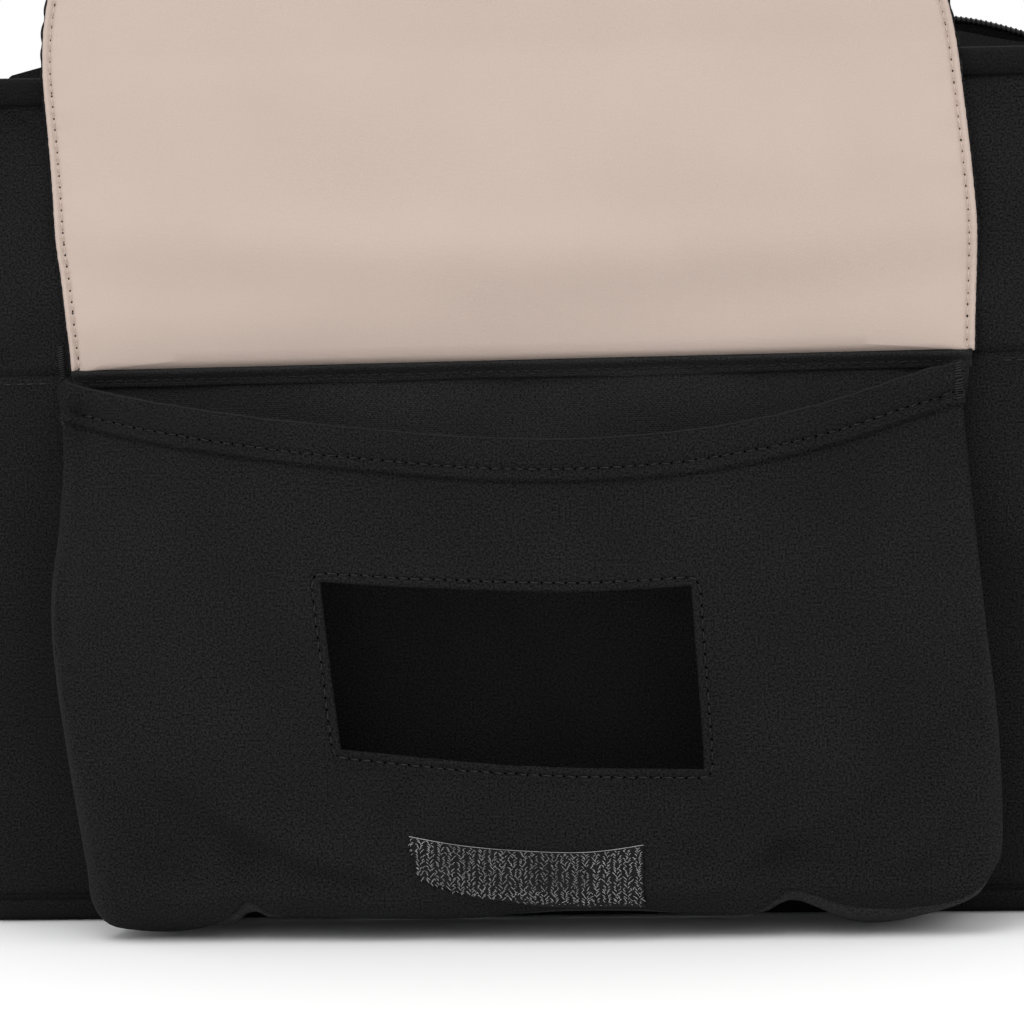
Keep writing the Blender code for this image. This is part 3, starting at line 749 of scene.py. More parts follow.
def wall_swell(q, z, panel, run, total):
    """The panels' crown, the seams' grooves and a slight unevenness, out from the plain wall."""
    f = 2 * run / total
    t = np.clip((z - BINDING_Z) / (BAND_LOW_Z - BINDING_Z), 0, 1)
    crown = CROWN[panel] * (1 - np.abs(f) ** 2.6) * np.sin(math.pi * t**0.8) ** 0.8
    edge = np.minimum(total / 2 - np.abs(run), 1)
    uneven = 0.8 * MM * ripple(q * 0.35, z, 62 * MM, 3) + 0.15 * MM * ripple(q * 0.35, z, 21 * MM, 4)
    uneven = uneven * smooth(edge / (12 * MM)) * np.sin(math.pi * t) ** 0.5
    under = np.clip(1 - z / (8 * MM), 0, 1)
    return crown + uneven - 5 * MM * under**2


def wall(q, z, lift=0.0):
    """The body's outer face."""
    q, z = np.broadcast_arrays(np.asarray(q, float), np.asarray(z, float))
    where, facing, panel, run, total = wall_line(q, z)
    out = wall_swell(q, z, panel, run, total) + lift
    flat = where + facing * out[..., None]
    found = np.concatenate([flat, z[..., None]], axis=-1)
    if wall_moves is not None:
        found = found + wall_moves.at(q % 4, z)
    return found


FRONT_TUCK = ((-154.5, 244.0), (-139.5, 232.5), 2.1)  # start, end and depth, in mm
TUCK_MIDDLE = (-146.5, 237.0)
FRONT_CREASES = (  # start, end, depth and width of each, in mm
    ((-168, 238), (-150, 204), 0.8, 4.0),
    ((150, 246), (160, 228), 0.7, 2.2),
    ((-146, 236), (-141, 180), 0.4, 4.5),
)


def wall_grooves(q, z):
    """Each seam draws the cloth in: the corners, the cross seam on the front, and the seam above the base."""
    _, _, panel, run, total = wall_line(q, z)
    corner = total / 2 - np.abs(run)
    above = (z > BINDING_Z) & (z < BAND_LOW_Z)
    groove = -1.0 * MM * ridge(corner, 1.3 * MM) + 0.45 * MM * ridge(corner - 3.2 * MM, 1.8 * MM)
    groove = np.where(above, groove, 0)
    cross = np.abs(z - SEAM_Z)
    drawn = -0.9 * MM * ridge(cross, 1.1 * MM) + 0.3 * MM * ridge(cross - 2.6 * MM, 1.6 * MM)
    groove += np.where(panel == 0, drawn * smooth((corner - 0.6 * MM) / (4 * MM)), 0)
    tucks = tuck(run, z, *FRONT_TUCK)
    for start, end, depth, width in FRONT_CREASES:
        tucks = tucks + crease(run, z, start, end, depth, width)
    groove -= np.where(panel == 0, tucks, 0)
    groove += -1.0 * MM * ridge(z - BINDING_Z, 1.6 * MM)
    groove += -0.7 * MM * ridge(z - BAND_LOW_Z, 1.8 * MM)
    return groove


def front_q(x):
    """q on the front panel at that x."""
    return 0.5 + x / (2 * (HALF_WIDTH - CORNER) + math.pi * CORNER / 2)


def tuck(x, z, start, end, depth):
    """A fold along a line whose upper side hangs over its lower side, as a depth."""
    a, b = in_mm(start), in_mm(end)
    line = b - a
    length = np.hypot(*line)
    along = np.clip(((x - a[0]) * line[0] + (z - a[1]) * line[1]) / length**2, 0, 1)
    under = ((x - a[0]) * line[1] - (z - a[1]) * line[0]) / length
    step = smooth(under / (0.9 * MM)) * np.exp(-np.clip(under, 0, None) / (3.2 * MM))
    return depth * MM * step * np.sin(math.pi * along) ** 0.7


def settle_walls():
    """Lets the walls swell between their seams, as padded cloth does."""
    columns, rows = 228, 60
    q = np.arange(columns + 1) / columns * 4
    z = np.linspace(BINDING_Z, BAND_LOW_Z, rows)
    grid_q, grid_z = np.meshgrid(q[:-1], z)
    points = wall(grid_q, grid_z)
    _, _, panel, run, total = wall_line(grid_q, grid_z)
    corner = total / 2 - np.abs(run)
    pinned = (corner < 2.2 * MM) | (grid_z < z[1]) | (grid_z > z[-2])
    pinned |= (panel == 0) & (np.abs(grid_z - SEAM_Z) < 2.2 * MM)
    pinned |= (panel == 0) & (grid_z < SEAM_Z)
    moves = settled(points, pinned, wrap=True, pressure=0.9, slack=0.012, cap=3.5 * MM, bending=1.5)
    moves = np.concatenate([moves, moves[:, :1]], axis=1)
    return Field((0, z[0]), (4, z[-1]), moves)


def spaced(low, high, centres, fine, coarse, reach):
    """Numbers from low to high, close together near the centres and further apart elsewhere."""
    found, at = [low], low
    while at < high:
        near = min(abs(at - c) for c in centres)
        at += fine if near < reach else min(coarse, max(fine, (near - reach) * 0.35 + fine))
        found.append(min(at, high))
    return np.array(found)


def make_body():
    """The walls as one swelling shell, cut at its seams into the five panels."""
    close = (2 * MM, BINDING_Z, SEAM_Z, 236 * MM, BAND_LOW_Z)
    z = spaced(0, RIM_Z - 1 * MM, close, 0.8 * MM, 3.2 * MM, 4 * MM)
    nodes = {
        "front": ("body_front", None), "right": ("body_side_right", ("side_panel_right",)),
        "back": ("body_back", ("back_panel",)), "left": ("body_side_left", ("side_panel_left",)),
    }
    stitches = []
    for index, panel in enumerate(PANELS):
        length = 2 * (HALF_WIDTH if index % 2 == 0 else HALF_DEPTH)
        close = (0, 36 * MM, 40 * MM, length) if panel == "front" else (0, length)
        run = spaced(0, length, close, 0.8 * MM, 3.2 * MM, 4 * MM) / length
        q = index + np.clip(run, 0, 1 - 1e-7)
        parts = [(nodes[panel][0], z, nodes[panel][1])]
        if panel == "front":
            low, high = z[z <= SEAM_Z + 1e-6], z[z >= SEAM_Z - 1e-6]
            low = np.append(low, SEAM_Z)
            high = np.insert(high, 0, SEAM_Z)
            parts = [
                ("body_front_lower", low, ("front_panel_lower",)),
                ("body_front_upper", high, ("front_panel_upper",)),
            ]
        for name, heights, replaced in parts:
            grid_q, grid_z = np.meshgrid(q, heights)
            points = wall(grid_q, grid_z, wall_grooves(grid_q, grid_z))
            obj = lattice(name, points, BLACK, thickness=SHELL)
            finish_piece(obj, "root", "black_fabric", *replaced)
            # the front behind the pocket's mouth gets painted light
            if name == "body_front_lower":
                paint_light_behind_pocket(obj)

        def lie(flat, lift, index=index):
            at = index + 0.5 + flat[:, 0] / 2
            return wall(at, flat[:, 1], lift + wall_grooves(at, flat[:, 1]))

        if panel != "front":
            inset = 1 - 5 * MM / length * 2
            for side in (-1, 1):
                line = straight_flat((side * inset, BINDING_Z + 4 * MM), (side * inset, BAND_LOW_Z - 2 * MM))
                stitches.append(stitch_paths(line, lie, seed=index * 10 + side + 1))
    obj = many_tubes("body_stitches", np.concatenate(stitches), HEAVY_THREAD, 5, BLACK_THREAD)
    finish_piece(obj, "root", "black_fabric")


# The patch of painted light on the front, behind the pocket's mouth
LIT_HALF_WIDTH = 127 * MM
LIT_LOW_Z = 122 * MM


def paint_light_behind_pocket(obj):
    """Behind the pocket's mouth the front's cloth gets the lighter copy of its material: painted light where
    the pocket and the flap shade it.
    """
    obj.data.materials.append(LIT_BLACK)
    for face in obj.data.polygons:
        if abs(face.center.x) < LIT_HALF_WIDTH and face.center.z > LIT_LOW_Z:
            face.material_index = 1


def straight_flat(a, b):
    """A straight line between two flat points, each a share and a height."""
    count = max(2, int(abs(b[1] - a[1]) / LINE_STEP))
    return np.linspace(a, b, count)


def ring_columns(step):
    """q all the way round, about that step apart, with points at the corner seams."""
    found = []
    for index in range(4):
        length = 2 * (HALF_WIDTH if index % 2 == 0 else HALF_DEPTH)
        found.append(index + np.arange(round(length / step)) / round(length / step))
    return np.concatenate(found)


def make_bands():
    """The rolled binding round the rim, and the piped seam just above the base."""
    q = ring_columns(3 * MM)
    rim = [
        (-7.6, -1.0), (-7.9, 0.5), (-7.2, 1.5), (-5.6, 2.1),
        (-3.4, 2.3), (-1.4, 2.0), (0.0, 1.1), (0.5, -0.3),
        (0.3, -2.0), (-0.6, -3.6), (-2.4, -4.6),
    ]
    rows = []
    for dz, lift in rim:
        uneven = 0.35 * MM * ripple(q * 0.25, np.full_like(q, 0), 40 * MM, 11)
        height = np.full_like(q, RIM_Z - 0.3 * MM + dz * MM) + 0.5 * uneven
        flat = wall(q, np.full_like(q, BAND_LOW_Z - 1 * MM), lift * MM + uneven)
        lean = wall_line(q, height)[0] - wall_line(q, np.full_like(q, BAND_LOW_Z - 1 * MM))[0]
        flat[:, :2] += lean
        flat[:, 2] = height
        rows.append(flat)
    band = lattice("rim_binding", np.array(rows), TRIM, wrap=True, thickness=0.5 * MM)
    finish_piece(band, "root", "black_trim", "rim_band")
    pipe = []
    for i in range(9):
        angle = math.pi * (i / 8 - 0.5) * 1.25
        lift = 0.7 * MM * math.cos(angle) - 0.95 * MM
        pipe.append(wall(q, np.full_like(q, BINDING_Z + 0.9 * MM * math.sin(angle)), lift))
    piping = lattice("base_piping", np.array(pipe), TRIM, wrap=True, thickness=0.3 * MM)
    finish_piece(piping, "root", "black_trim", "base_binding")


def pressed_in(q, z):
    """How far the padding and the lining give way behind the tuck at the front's upper left."""
    _, _, panel, run, _ = wall_line(q, z)
    from_tuck = np.hypot(run - TUCK_MIDDLE[0] * MM, z - TUCK_MIDDLE[1] * MM)
    return 1.3 * MM * ridge(from_tuck, 9 * MM) * (panel == 0)


def make_inside():
    """The foam and the lining inside the walls, the lining's floor and the base cloth."""
    q = ring_columns(4 * MM)
    z = np.linspace(6 * MM, RIM_Z - 5 * MM, 48)
    grid_q, grid_z = np.meshgrid(q, z)
    points = wall(grid_q, grid_z, -SHELL - 0.5 * MM - pressed_in(grid_q, grid_z))
    foam = lattice("wall_padding", points, FOAM_WHITE, wrap=True, thickness=FOAM)
    finish_piece(foam, "root", "white_foam", "foam_front", "foam_back", "foam_left", "foam_right")
    z = np.linspace(6.5 * MM, RIM_Z - 2.5 * MM, 62)
    grid_q, grid_z = np.meshgrid(q, z)
    puckers = 0.35 * MM * ripple(grid_q * 0.25, grid_z, 24 * MM, 21) + pressed_in(grid_q, grid_z)
    walls = wall(grid_q, grid_z, -LINING_DEPTH - puckers)
    lining = lattice("lining_walls", walls, BEIGE, wrap=True, thickness=-LINING)
    finish_piece(lining, "root", "beige_lining", "lining_front", "lining_back", "lining_left", "lining_right")

    def floor_cloth(name, height, lift, finish, slot, node, flip):
        rings = np.array([1, 0.985, 0.95, 0.88, 0.78, 0.66, 0.54, 0.42, 0.3, 0.18, 0.06])
        edge = wall(q, np.full_like(q, height), lift)
        points = np.array([edge * [s, s, 1] for s in rings])
        uneven = 0.25 * MM * ripple(points[..., 0], points[..., 1], 45 * MM, 33)
        points[..., 2] = height + uneven * (rings < 0.96)[:, None]
        obj = lattice(name, points, finish, wrap=True, thickness=0.35 * MM, flip=flip)
        finish_piece(obj, "root", slot, node)

    floor_cloth("lining_floor_cloth", 5.6 * MM, -LINING_DEPTH, BEIGE, "beige_lining", "lining_floor", False)
    floor_cloth("base_cloth", 0.7 * MM, 0.2 * MM, BLACK, "black_fabric", "base_panel", True)


def make_board():
    """The stiff board in the base, with its corners rounded like the bag's."""
    low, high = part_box("base_board")
    outline = rounded(high.x, high.y, CORNER - 3 * MM)
    board = plate_mesh("stiff_board", outline, high.z - low.z, 0.3 * MM, BOARD_GREY)
    board.location = (0, 0, (low.z + high.z) / 2)
    finish_piece(board, "root", "grey_board", "base_board")


# ---------------------------------------------------------------- roof and zip

def ridge_rise(x):
    """How high the ridge stands: level in the middle, and coming down to the rim at the zip's ends."""
    right = RIDGE_RISE * (1 - smooth((x - 112 * MM) / (ZIP_RIGHT + 14 * MM - 112 * MM)))
    right = right + 0.2 * MM * ridge(x - 138 * MM, 28 * MM)
    left = RIDGE_RISE * (1 - smooth((-x - 108 * MM) / (-ZIP_LEFT + 4 * MM - 108 * MM)))
    left = left + 1.2 * MM * ridge(x + 150 * MM, 14 * MM)
    return np.where(x > 0, right, left)


def roof_edge(x):
    """The roof's half depth there: the rim's corners are round."""
    past = np.clip(np.abs(x) - (HALF_WIDTH - CORNER), 0, CORNER * 0.98)
    return ROOF_HALF_DEPTH - CORNER + np.sqrt(CORNER**2 - past**2)


def roof(x, share, side, lift=0.0):
    """The roof at x and a share from 0 at the rim to 1 at the ridge. side is -1 in front and 1 behind."""
    x, share = np.broadcast_arrays(np.asarray(x, float), np.asarray(share, float))
    y = side * roof_edge(x) * (1 - share)
    rise = ridge_rise(x)
    puff = 1.3 * MM * np.sin(math.pi * share) * (0.4 + 0.6 * smooth((150 * MM - np.abs(x)) / (60 * MM)))
    uneven = 0.5 * MM * ripple(x, y, 48 * MM, 41) * np.sin(math.pi * np.clip(share, 0, 1))
    fold_at = 118 * MM + 44 * MM * (1 - share)
    fold = 1.5 * MM * ridge(np.abs(x) - fold_at, 5 * MM) * np.sin(math.pi * share)
    z = RIM_Z - 1.2 * MM + (rise + 1.2 * MM) * share**0.85 + puff + uneven + fold + lift
    return np.stack([x, y, z], axis=-1)


def zip_lift(x):
    """How far the zip stands above the ridge: its tape turns up where the roof comes down at the right."""
    return 2.9 * MM * ridge(x - 138 * MM, 26 * MM)


def blend_of(side_name, side_x):
    """The root, a quarter's leaf, and a span on the rim line going in towards the middle, from BEND_END to
    the leaf's end.
    """
    start = (side_x * BEND_END, 0, RIM_Z)
    end = (side_x * LEAF_HALF_LENGTH, 0, RIM_Z)
    return ("root", f"top_{side_name}", start, end)


def coil_points(x_from, x_to, side_y, phase):
    """A zip's coil, turning round a line along the ridge."""
    turns = abs(x_to - x_from) / COIL_PITCH
    count = int(turns * TURN_POINTS)
    x = np.linspace(x_from, x_to, count)
    angle = np.arange(count) / TURN_POINTS * 2 * math.pi + phase
    centre_z = roof(x, np.full(count, 1.0), -1)[:, 2] + COIL_RADIUS + zip_lift(x)
    y = side_y * COIL_Y + 1.05 * COIL_RADIUS * np.cos(angle) * 0.95
    return np.stack([x, y, centre_z + 0.8 * COIL_RADIUS * np.sin(angle)], axis=-1)


def zip_end_at(side_x):
    return ZIP_LEFT if side_x < 0 else ZIP_RIGHT


def make_quarter(side_x, end_name, side_y, leaf):
    """A quarter of the roof, with its lining, its half of the zip's tape and its half of the coil."""
    zip_end = zip_end_at(side_x)
    name = f"{leaf}_{end_name}"
    body = blend_of(leaf, side_x)
    x = np.concatenate([np.linspace(0, 150 * MM, 62), np.linspace(152 * MM, HALF_WIDTH - 2 * MM, 14)])
    x = np.sort(side_x * x)
    top = 1 - SLOT / ROOF_HALF_DEPTH
    share = np.concatenate([np.linspace(0, 0.8, 20), np.linspace(0.82, top, 8)])
    grid_x, grid_share = np.meshgrid(x, share)
    past_zip = smooth((np.abs(grid_x) - (abs(zip_end) + 1 * MM)) / (3 * MM))
    grid_share = grid_share + past_zip * (grid_share / top) ** 3 * (1 - top)
    groove = -0.5 * MM * ridge((top - grid_share) * ROOF_HALF_DEPTH - 2.6 * MM, 1.0 * MM)
    hem = 0.5 * MM * smooth((grid_share - top + 4.5 * MM / ROOF_HALF_DEPTH) / 0.02)
    points = roof(grid_x, grid_share, side_y, (groove + hem) * (1 - past_zip))
    # the roof's cloth is the separately toned copy: painted shade for its upward face
    obj = lattice(f"roof_{name}", points, ROOF_SHADE_BLACK, thickness=SHELL, flip=side_y > 0)
    finish_piece(obj, body, "black_fabric", f"roof_end_{end_name}", f"top_panel_{leaf}")
    lining_x = np.sort(side_x * np.linspace(0, ROOF_LINING_HALF_LENGTH, 50))
    grid_x, grid_share = np.meshgrid(lining_x, np.linspace(0.06, 1 - 9 * MM / ROOF_HALF_DEPTH, 18))
    points = roof(grid_x, grid_share, side_y, -3.4 * MM)
    obj = lattice(f"roof_lining_{name}", points, BEIGE, thickness=LINING, flip=side_y > 0)
    finish_piece(obj, body, "beige_lining", f"top_lining_{leaf}")
    tape_x = np.sort(np.linspace(0, zip_end, 76))
    reach = np.linspace(1 - TAPE_HALF_WIDTH / ROOF_HALF_DEPTH, 1 - 0.25 * MM / ROOF_HALF_DEPTH, 9)
    grid_x, grid_share = np.meshgrid(tape_x, reach)
    turned = smooth((grid_share - 0.86) / 0.12)
    points = roof(grid_x, grid_share, side_y, -1.7 * MM + (1.3 * MM + 1.4 * zip_lift(grid_x)) * turned)
    obj = lattice(f"zip_tape_{name}", points, ZIP_TAPE, thickness=0.5 * MM, flip=side_y > 0)
    finish_piece(obj, body, "zip_nylon", f"zip_tape_{end_name}", f"zip_tape_{leaf}")
    path = coil_points(0, zip_end - side_x * 2 * MM, side_y, 0 if side_y < 0 else math.pi)
    obj = tube(f"zip_coil_{name}", path, 0.34 * MM, 6, ZIP_BLACK)
    finish_piece(obj, body, "zip_nylon", f"zip_coil_{end_name}", f"zip_coil_{leaf}")
    whole_turns = path[: len(path) // TURN_POINTS * TURN_POINTS]
    middle = whole_turns.reshape(-1, TURN_POINTS, 3).mean(axis=1)
    cord = tube(f"zip_cord_{name}", middle, 0.62 * COIL_RADIUS, 8, ZIP_BLACK)
    finish_piece(cord, body, "zip_nylon")

    def lie(flat, lift):
        return roof(flat[:, 0], flat[:, 1], side_y, lift)

    row = top - 2.6 * MM / ROOF_HALF_DEPTH
    line = np.stack([np.linspace(1 * MM * side_x, zip_end, 140), np.full(140, row)], axis=1)
    paths = stitch_paths(line, lie, seed=51 + side_y + 10 * side_x)
    obj = many_tubes(f"roof_stitches_{name}", paths, THREAD, 5, BLACK_THREAD)
    finish_piece(obj, body, "black_fabric")


def make_zip_end(side_x, end_name):
    """The tab sewn over an end of the zip."""
    zip_end = zip_end_at(side_x)
    across = np.linspace(-9 * MM, 9 * MM, 13)
    covered = 1.5 * MM if side_x > 0 else 16 * MM
    along = np.linspace(zip_end - side_x * covered, zip_end + side_x * 6.5 * MM, 29)
    if side_x < 0:
        along = along[::-1]
    grid_x, grid_y = np.meshgrid(along, across)
    base = roof(grid_x, np.ones_like(grid_x), -1)
    past_edge = smooth((np.abs(grid_y) - 6 * MM) / (3 * MM))
    height = base[..., 2] + 1.5 * MM + 0.9 * MM * ridge(grid_y, 4 * MM) - 1.3 * MM * past_edge
    if side_x < 0:
        stands = RIM_Z + 4.6 * MM + 0.24 * (grid_x + 165 * MM) + 0.5 * MM * ridge(grid_y + 5 * MM, 2 * MM)
        end = 1 - smooth((-163.4 * MM - grid_x) / (4 * MM))
        height = np.maximum(height, RIM_Z + (stands - RIM_Z) * end - 2.5 * MM * past_edge)
    points = np.stack([grid_x, grid_y, height], axis=-1)
    # The tab takes the roof's separately toned cloth: painted shade, to keep it dark.
    obj = lattice(f"zip_end_{end_name}", points, ROOF_SHADE_BLACK, thickness=1.0 * MM)
    finish_piece(obj, "root", "black_webbing", f"zip_end_tab_{end_name}")


def make_roof():
    for side_x, end_name in ((-1, "left"), (1, "right")):
        for side_y, leaf in ((-1, "front"), (1, "back")):
            make_quarter(side_x, end_name, side_y, leaf)
        make_zip_end(side_x, end_name)


def plate_mesh(name, outline, thickness, bevel, finish, holes=()):
    """A flat plate with rounded edges, lying in X and Y with its middle at z = 0."""
    curve = bpy.data.curves.new(name, "CURVE")
    curve.dimensions = "2D"
    curve.fill_mode = "BOTH"
    curve.extrude = thickness / 2 - bevel
    curve.bevel_depth = bevel
    curve.bevel_resolution = 2
    curve.offset = -bevel
    for loop in (outline, *holes):
        spline = curve.splines.new("POLY")
        spline.points.add(len(loop) - 1)
        for point, (u, v) in zip(spline.points, loop):
            point.co = (u, v, 0, 1)
        spline.use_cyclic_u = True
    source = bpy.data.objects.new(name, curve)
    scene.collection.objects.link(source)
    bpy.context.view_layer.update()
    graph = bpy.context.evaluated_depsgraph_get()
    mesh = bpy.data.meshes.new_from_object(source.evaluated_get(graph))
    bpy.data.objects.remove(source)
    mesh.materials.clear()
    mesh.materials.append(finish)
    mesh.shade_smooth()
    mesh.set_sharp_from_angle(angle=math.radians(38))
    obj = bpy.data.objects.new(name, mesh)
    scene.collection.objects.link(obj)
    return obj


def rounded(half_u, half_v, radius, centre=(0, 0), steps=6):
    """A rectangle with round corners, counterclockwise."""
    found = []
    for corner, (su, sv) in enumerate(((1, -1), (1, 1), (-1, 1), (-1, -1))):
        for i in range(steps + 1):
            angle = math.pi / 2 * (corner - 1 + i / steps)
            found.append((
                centre[0] + su * (half_u - radius) + radius * math.cos(angle),
                centre[1] + sv * (half_v - radius) + radius * math.sin(angle),
            ))
    return found


def make_slider():
    """The zip's slider, with the bail that holds its pull."""
    low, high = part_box("zip_slider")
    centre_x = (low.x + high.x) / 2
    plate_z = low.z + 3.0 * MM
    outline = []
    for i in range(33):
        share = i / 32
        x = -6 * MM + 12 * MM * share
        swell, narrow = smooth(np.array(share / 0.45)), smooth(np.array((share - 0.55) / 0.45))
        width = (3.3 + 1.4 * swell - 1.6 * narrow) * MM
        outline.append((x, float(width)))
    outline = outline + [(x, -w) for x, w in outline[::-1]]
    top = plate_mesh("slider_top", outline, 1.2 * MM, 0.3 * MM, GUNMETAL)
    top.location = (centre_x, 0, plate_z + 0.6 * MM)
    parts = [top]
    for side in (-1, 1):
        rib = rounded(5.2 * MM, 0.55 * MM, 0.4 * MM)
        flange = plate_mesh("slider_flange", rib, 3.2 * MM, 0.25 * MM, GUNMETAL)
        flange.location = (centre_x, side * 3.9 * MM, plate_z - 1.3 * MM)
        parts.append(flange)
    arch = [
        (-3.5, 0.4), (-3.5, 2.6), (-3.1, 3.4), (-2.2, 3.75), (0, 3.85),
        (2.2, 3.75), (3.1, 3.4), (3.5, 2.6), (3.5, 0.4)
    ]
    path = curve_through([(centre_x + x * MM, 0, plate_z + z * MM) for x, z in arch], 0.4 * MM)
    parts.append(tube("slider_bail", path, 0.62 * MM, 10, GUNMETAL))
    slider = joined("slider_body", parts)
    finish_piece(slider, "zip_slider", "dark_metal", "zip_slider")


def make_pull():
    low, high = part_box("zip_pull")
    centre_z = (low.z + high.z) / 2
    length = high.x - low.x
    outer = []
    for i in range(49):
        share = i / 48
        neck = 2.9 + 1.1 * smooth(np.array((share - 0.1) / 0.3))
        end = math.sqrt(max(0.0, 1 - max(0.0, (share - 0.86) / 0.14) ** 2))
        start = math.sqrt(max(0.0, 1 - max(0.0, (0.07 - share) / 0.07) ** 2))
        width = float(neck) * max(0.02, end) * max(0.02, start) * MM
        outer.append((low.x + length * share, width))
    outer = outer + [(x, -w) for x, w in outer[::-1]]
    hole = rounded(2.1 * MM, 1.5 * MM, 0.8 * MM, (low.x + 3.7 * MM, 0))
    grip = rounded(5.2 * MM, 1.9 * MM, 1.85 * MM, (low.x + 15.5 * MM, 0))
    pull = plate_mesh("pull_plate", outer, 1.3 * MM, 0.35 * MM, GUNMETAL, [hole, grip])
    pull.location = (0, 0, centre_z)
    finish_piece(pull, "zip_pull", "dark_metal", "zip_pull")


# ---------------------------------------------------------------- pocket

POCKET_SIDES = (  # the left and the right edge of the pocket's front, from the base up, in mm
    ((-125.6, 20), (-129, 43), (-132.6, 72), (-135, 98), (-134.4, 120), (-133.9, 139), (-135.0, 156)),
    ((134.6, 27), (134, 57), (131.2, 86), (129, 116), (128, 130), (126.8, 147), (128.2, 156)),
)
POCKET_MOUTH = (
    (-134.2, 160.4), (-131.6, 161.8), (-128.4, 159.9), (-106.6, 155.1), (-76.1, 150.1), (-46.6, 146.5),
    (-17.6, 143.4), (2.2, 142.1), (24.7, 141.9), (47.1, 143.0), (69.3, 146.0), (89.1, 150.2),
    (108.9, 156.2), (124.5, 160.0), (127.4, 159.6),
)
POCKET_FOOT = (
    (-124.4, 11), (-120.5, 5), (-113, 2.6), (-100, 2.0), (-88.5, 4.6), (-82, 8.4), (-78.8, 11.6),
    (-75.6, 10.6), (-73, 8.0), (-65, 6.8), (-42, 6.0), (-18, 5.6), (0, 7.4), (12, 8.6), (32, 8.4),
    (48, 6.8), (62, 6.4), (68, 8.4), (75, 13.4), (82, 12.2), (92, 8.8), (104, 7.8), (118, 9.2),
    (126.5, 12.6), (132.2, 18.5),
)
WINDOW = (  # its top edge from the left, then its foot from the right
    ((-55.2, 102.4), (-32, 100.6), (0, 98.9), (24, 98.4), (49.4, 99.4)),
    ((51.9, 48.1), (12, 49.3), (-18, 51.6), (-50.1, 55.2)),
)
HEM_STITCH = 9.0 * MM
HEM_EDGE = 12.2 * MM
WINDOW_STITCH = 2.5 * MM
HOOK_TOP = ((-31.4, 30.4), (-16, 27.6), (0, 26.1), (18, 25.5), (34.4, 27.2))
HOOK_FOOT = (
    (-31.4, 29.0), (-30.4, 24.0), (-29.0, 19.9), (-23.0, 16.7), (-7.0, 12.7), (10.0, 10.3), (34.4, 10.0)
)


def in_mm(points):
    return np.array(points, float) * MM


LEFT_EDGE, RIGHT_EDGE = (in_mm(side) for side in POCKET_SIDES)
MOUTH_LINE = curve_through(in_mm(POCKET_MOUTH), LINE_STEP)[::-1]
POCKET_OUTLINE = curve_through(
    np.concatenate([in_mm(POCKET_FOOT), RIGHT_EDGE, in_mm(POCKET_MOUTH)[::-1], LEFT_EDGE[::-1]]),
    LINE_STEP, True,
)
FOOT_LINE = curve_through(np.concatenate([LEFT_EDGE[::-1], in_mm(POCKET_FOOT), RIGHT_EDGE]), LINE_STEP)
WINDOW_LINE = even(np.concatenate([curve_through(in_mm(edge), 1 * MM) for edge in WINDOW]), LINE_STEP, True)
pocket_moves = None  # known once settle_pocket() has run


def edge_at(edge, z):
    order = np.argsort(edge[:, 1])
    return np.interp(z, edge[order, 1], edge[order, 0])


def pocket_depth(x, z):
    """How far the pocket's front stands off the body: deep below, and drawn in at its top corners."""
    left, right = edge_at(LEFT_EDGE, z), edge_at(RIGHT_EDGE, z)
    share = np.clip((x - left) / (right - left), 0, 1)
    full = POCKET_DEPTH
    edge = 4.5 * MM + (full - 6 * MM) * smooth((162 * MM - z) / (88 * MM))
    middle = full - 7.5 * MM * smooth((z - 84 * MM) / (62 * MM))
    middle = middle + 1.2 * MM * np.sin(math.pi * np.clip(z / (150 * MM), 0, 1))
    depth = edge + (middle - edge) * (1 - np.abs(2 * share - 1) ** 3.0)
    beside_edge = np.minimum(x - left, right - x)
    turned_in = np.clip(1 - beside_edge / (9 * MM), 0, 1) ** 2
    depth = depth - 7 * MM * turned_in * smooth((150 * MM - z) / (40 * MM))
    depth = depth - 6 * MM * np.clip(1 - (z - 5 * MM) / (11 * MM), 0, 1.4) ** 2
    return depth


def crease(x, z, start, end, depth, width):
    """A soft fold along a line that fades out at both ends, taken from the depth."""
    a, b = in_mm(start), in_mm(end)
    line = b - a
    length = np.hypot(*line)
    along = ((x - a[0]) * line[0] + (z - a[1]) * line[1]) / length**2
    across = ((x - a[0]) * line[1] - (z - a[1]) * line[0]) / length
    fade = np.where((along > 0) & (along < 1), np.sin(math.pi * np.clip(along, 0, 1)) ** 1.2, 0)
    return depth * MM * ridge(across, width * MM) * fade


POCKET_CREASES = (  # start, end, depth and width of each, in mm
    ((24, 44), (60, 8), 1.6, 5.0),
    ((34, 44), (68, 10), -1.0, 5.0),
    ((-26, 52), (-40, 22), 1.3, 5.0),
    ((-40, 30), (-22, 8), 1.5, 4.0),
    ((-30, 54), (-50, 24), -0.9, 6.0),
    ((-79, 34), (-78, 8), 1.7, 4.5),
    ((-90, 30), (-84, 6), -1.2, 5.0),
    ((-68, 28), (-72, 6), -1.0, 4.5),
    ((72, 40), (75, 9), 2.2, 5.5),
    ((84, 32), (96, 5), -1.4, 6.0),
    ((62, 34), (62, 4), -1.0, 5.5),
    ((-132, 158), (-96, 120), 1.1, 7.0),
    ((126, 156), (92, 116), 1.1, 7.0),
    ((-58, 108), (-96, 132), 0.8, 9.0),
    ((54, 104), (98, 124), 0.8, 9.0),
    ((-54, 50), (-92, 22), 0.7, 9.0),
)


def pocket(x, z):
    """The pocket's front."""
    depth = pocket_depth(x, z)
    for start, end, deep, wide in POCKET_CREASES:
        depth = depth - crease(x, z, start, end, deep, wide)
    depth = depth + 0.45 * MM * ripple(x, z, 70 * MM, 61) + 0.15 * MM * ripple(x, z, 22 * MM, 62)
    found = np.stack([x, POCKET_BACK - depth, z], axis=-1)
    if pocket_moves is not None:
        found = found + pocket_moves.at(x, z)
    return found


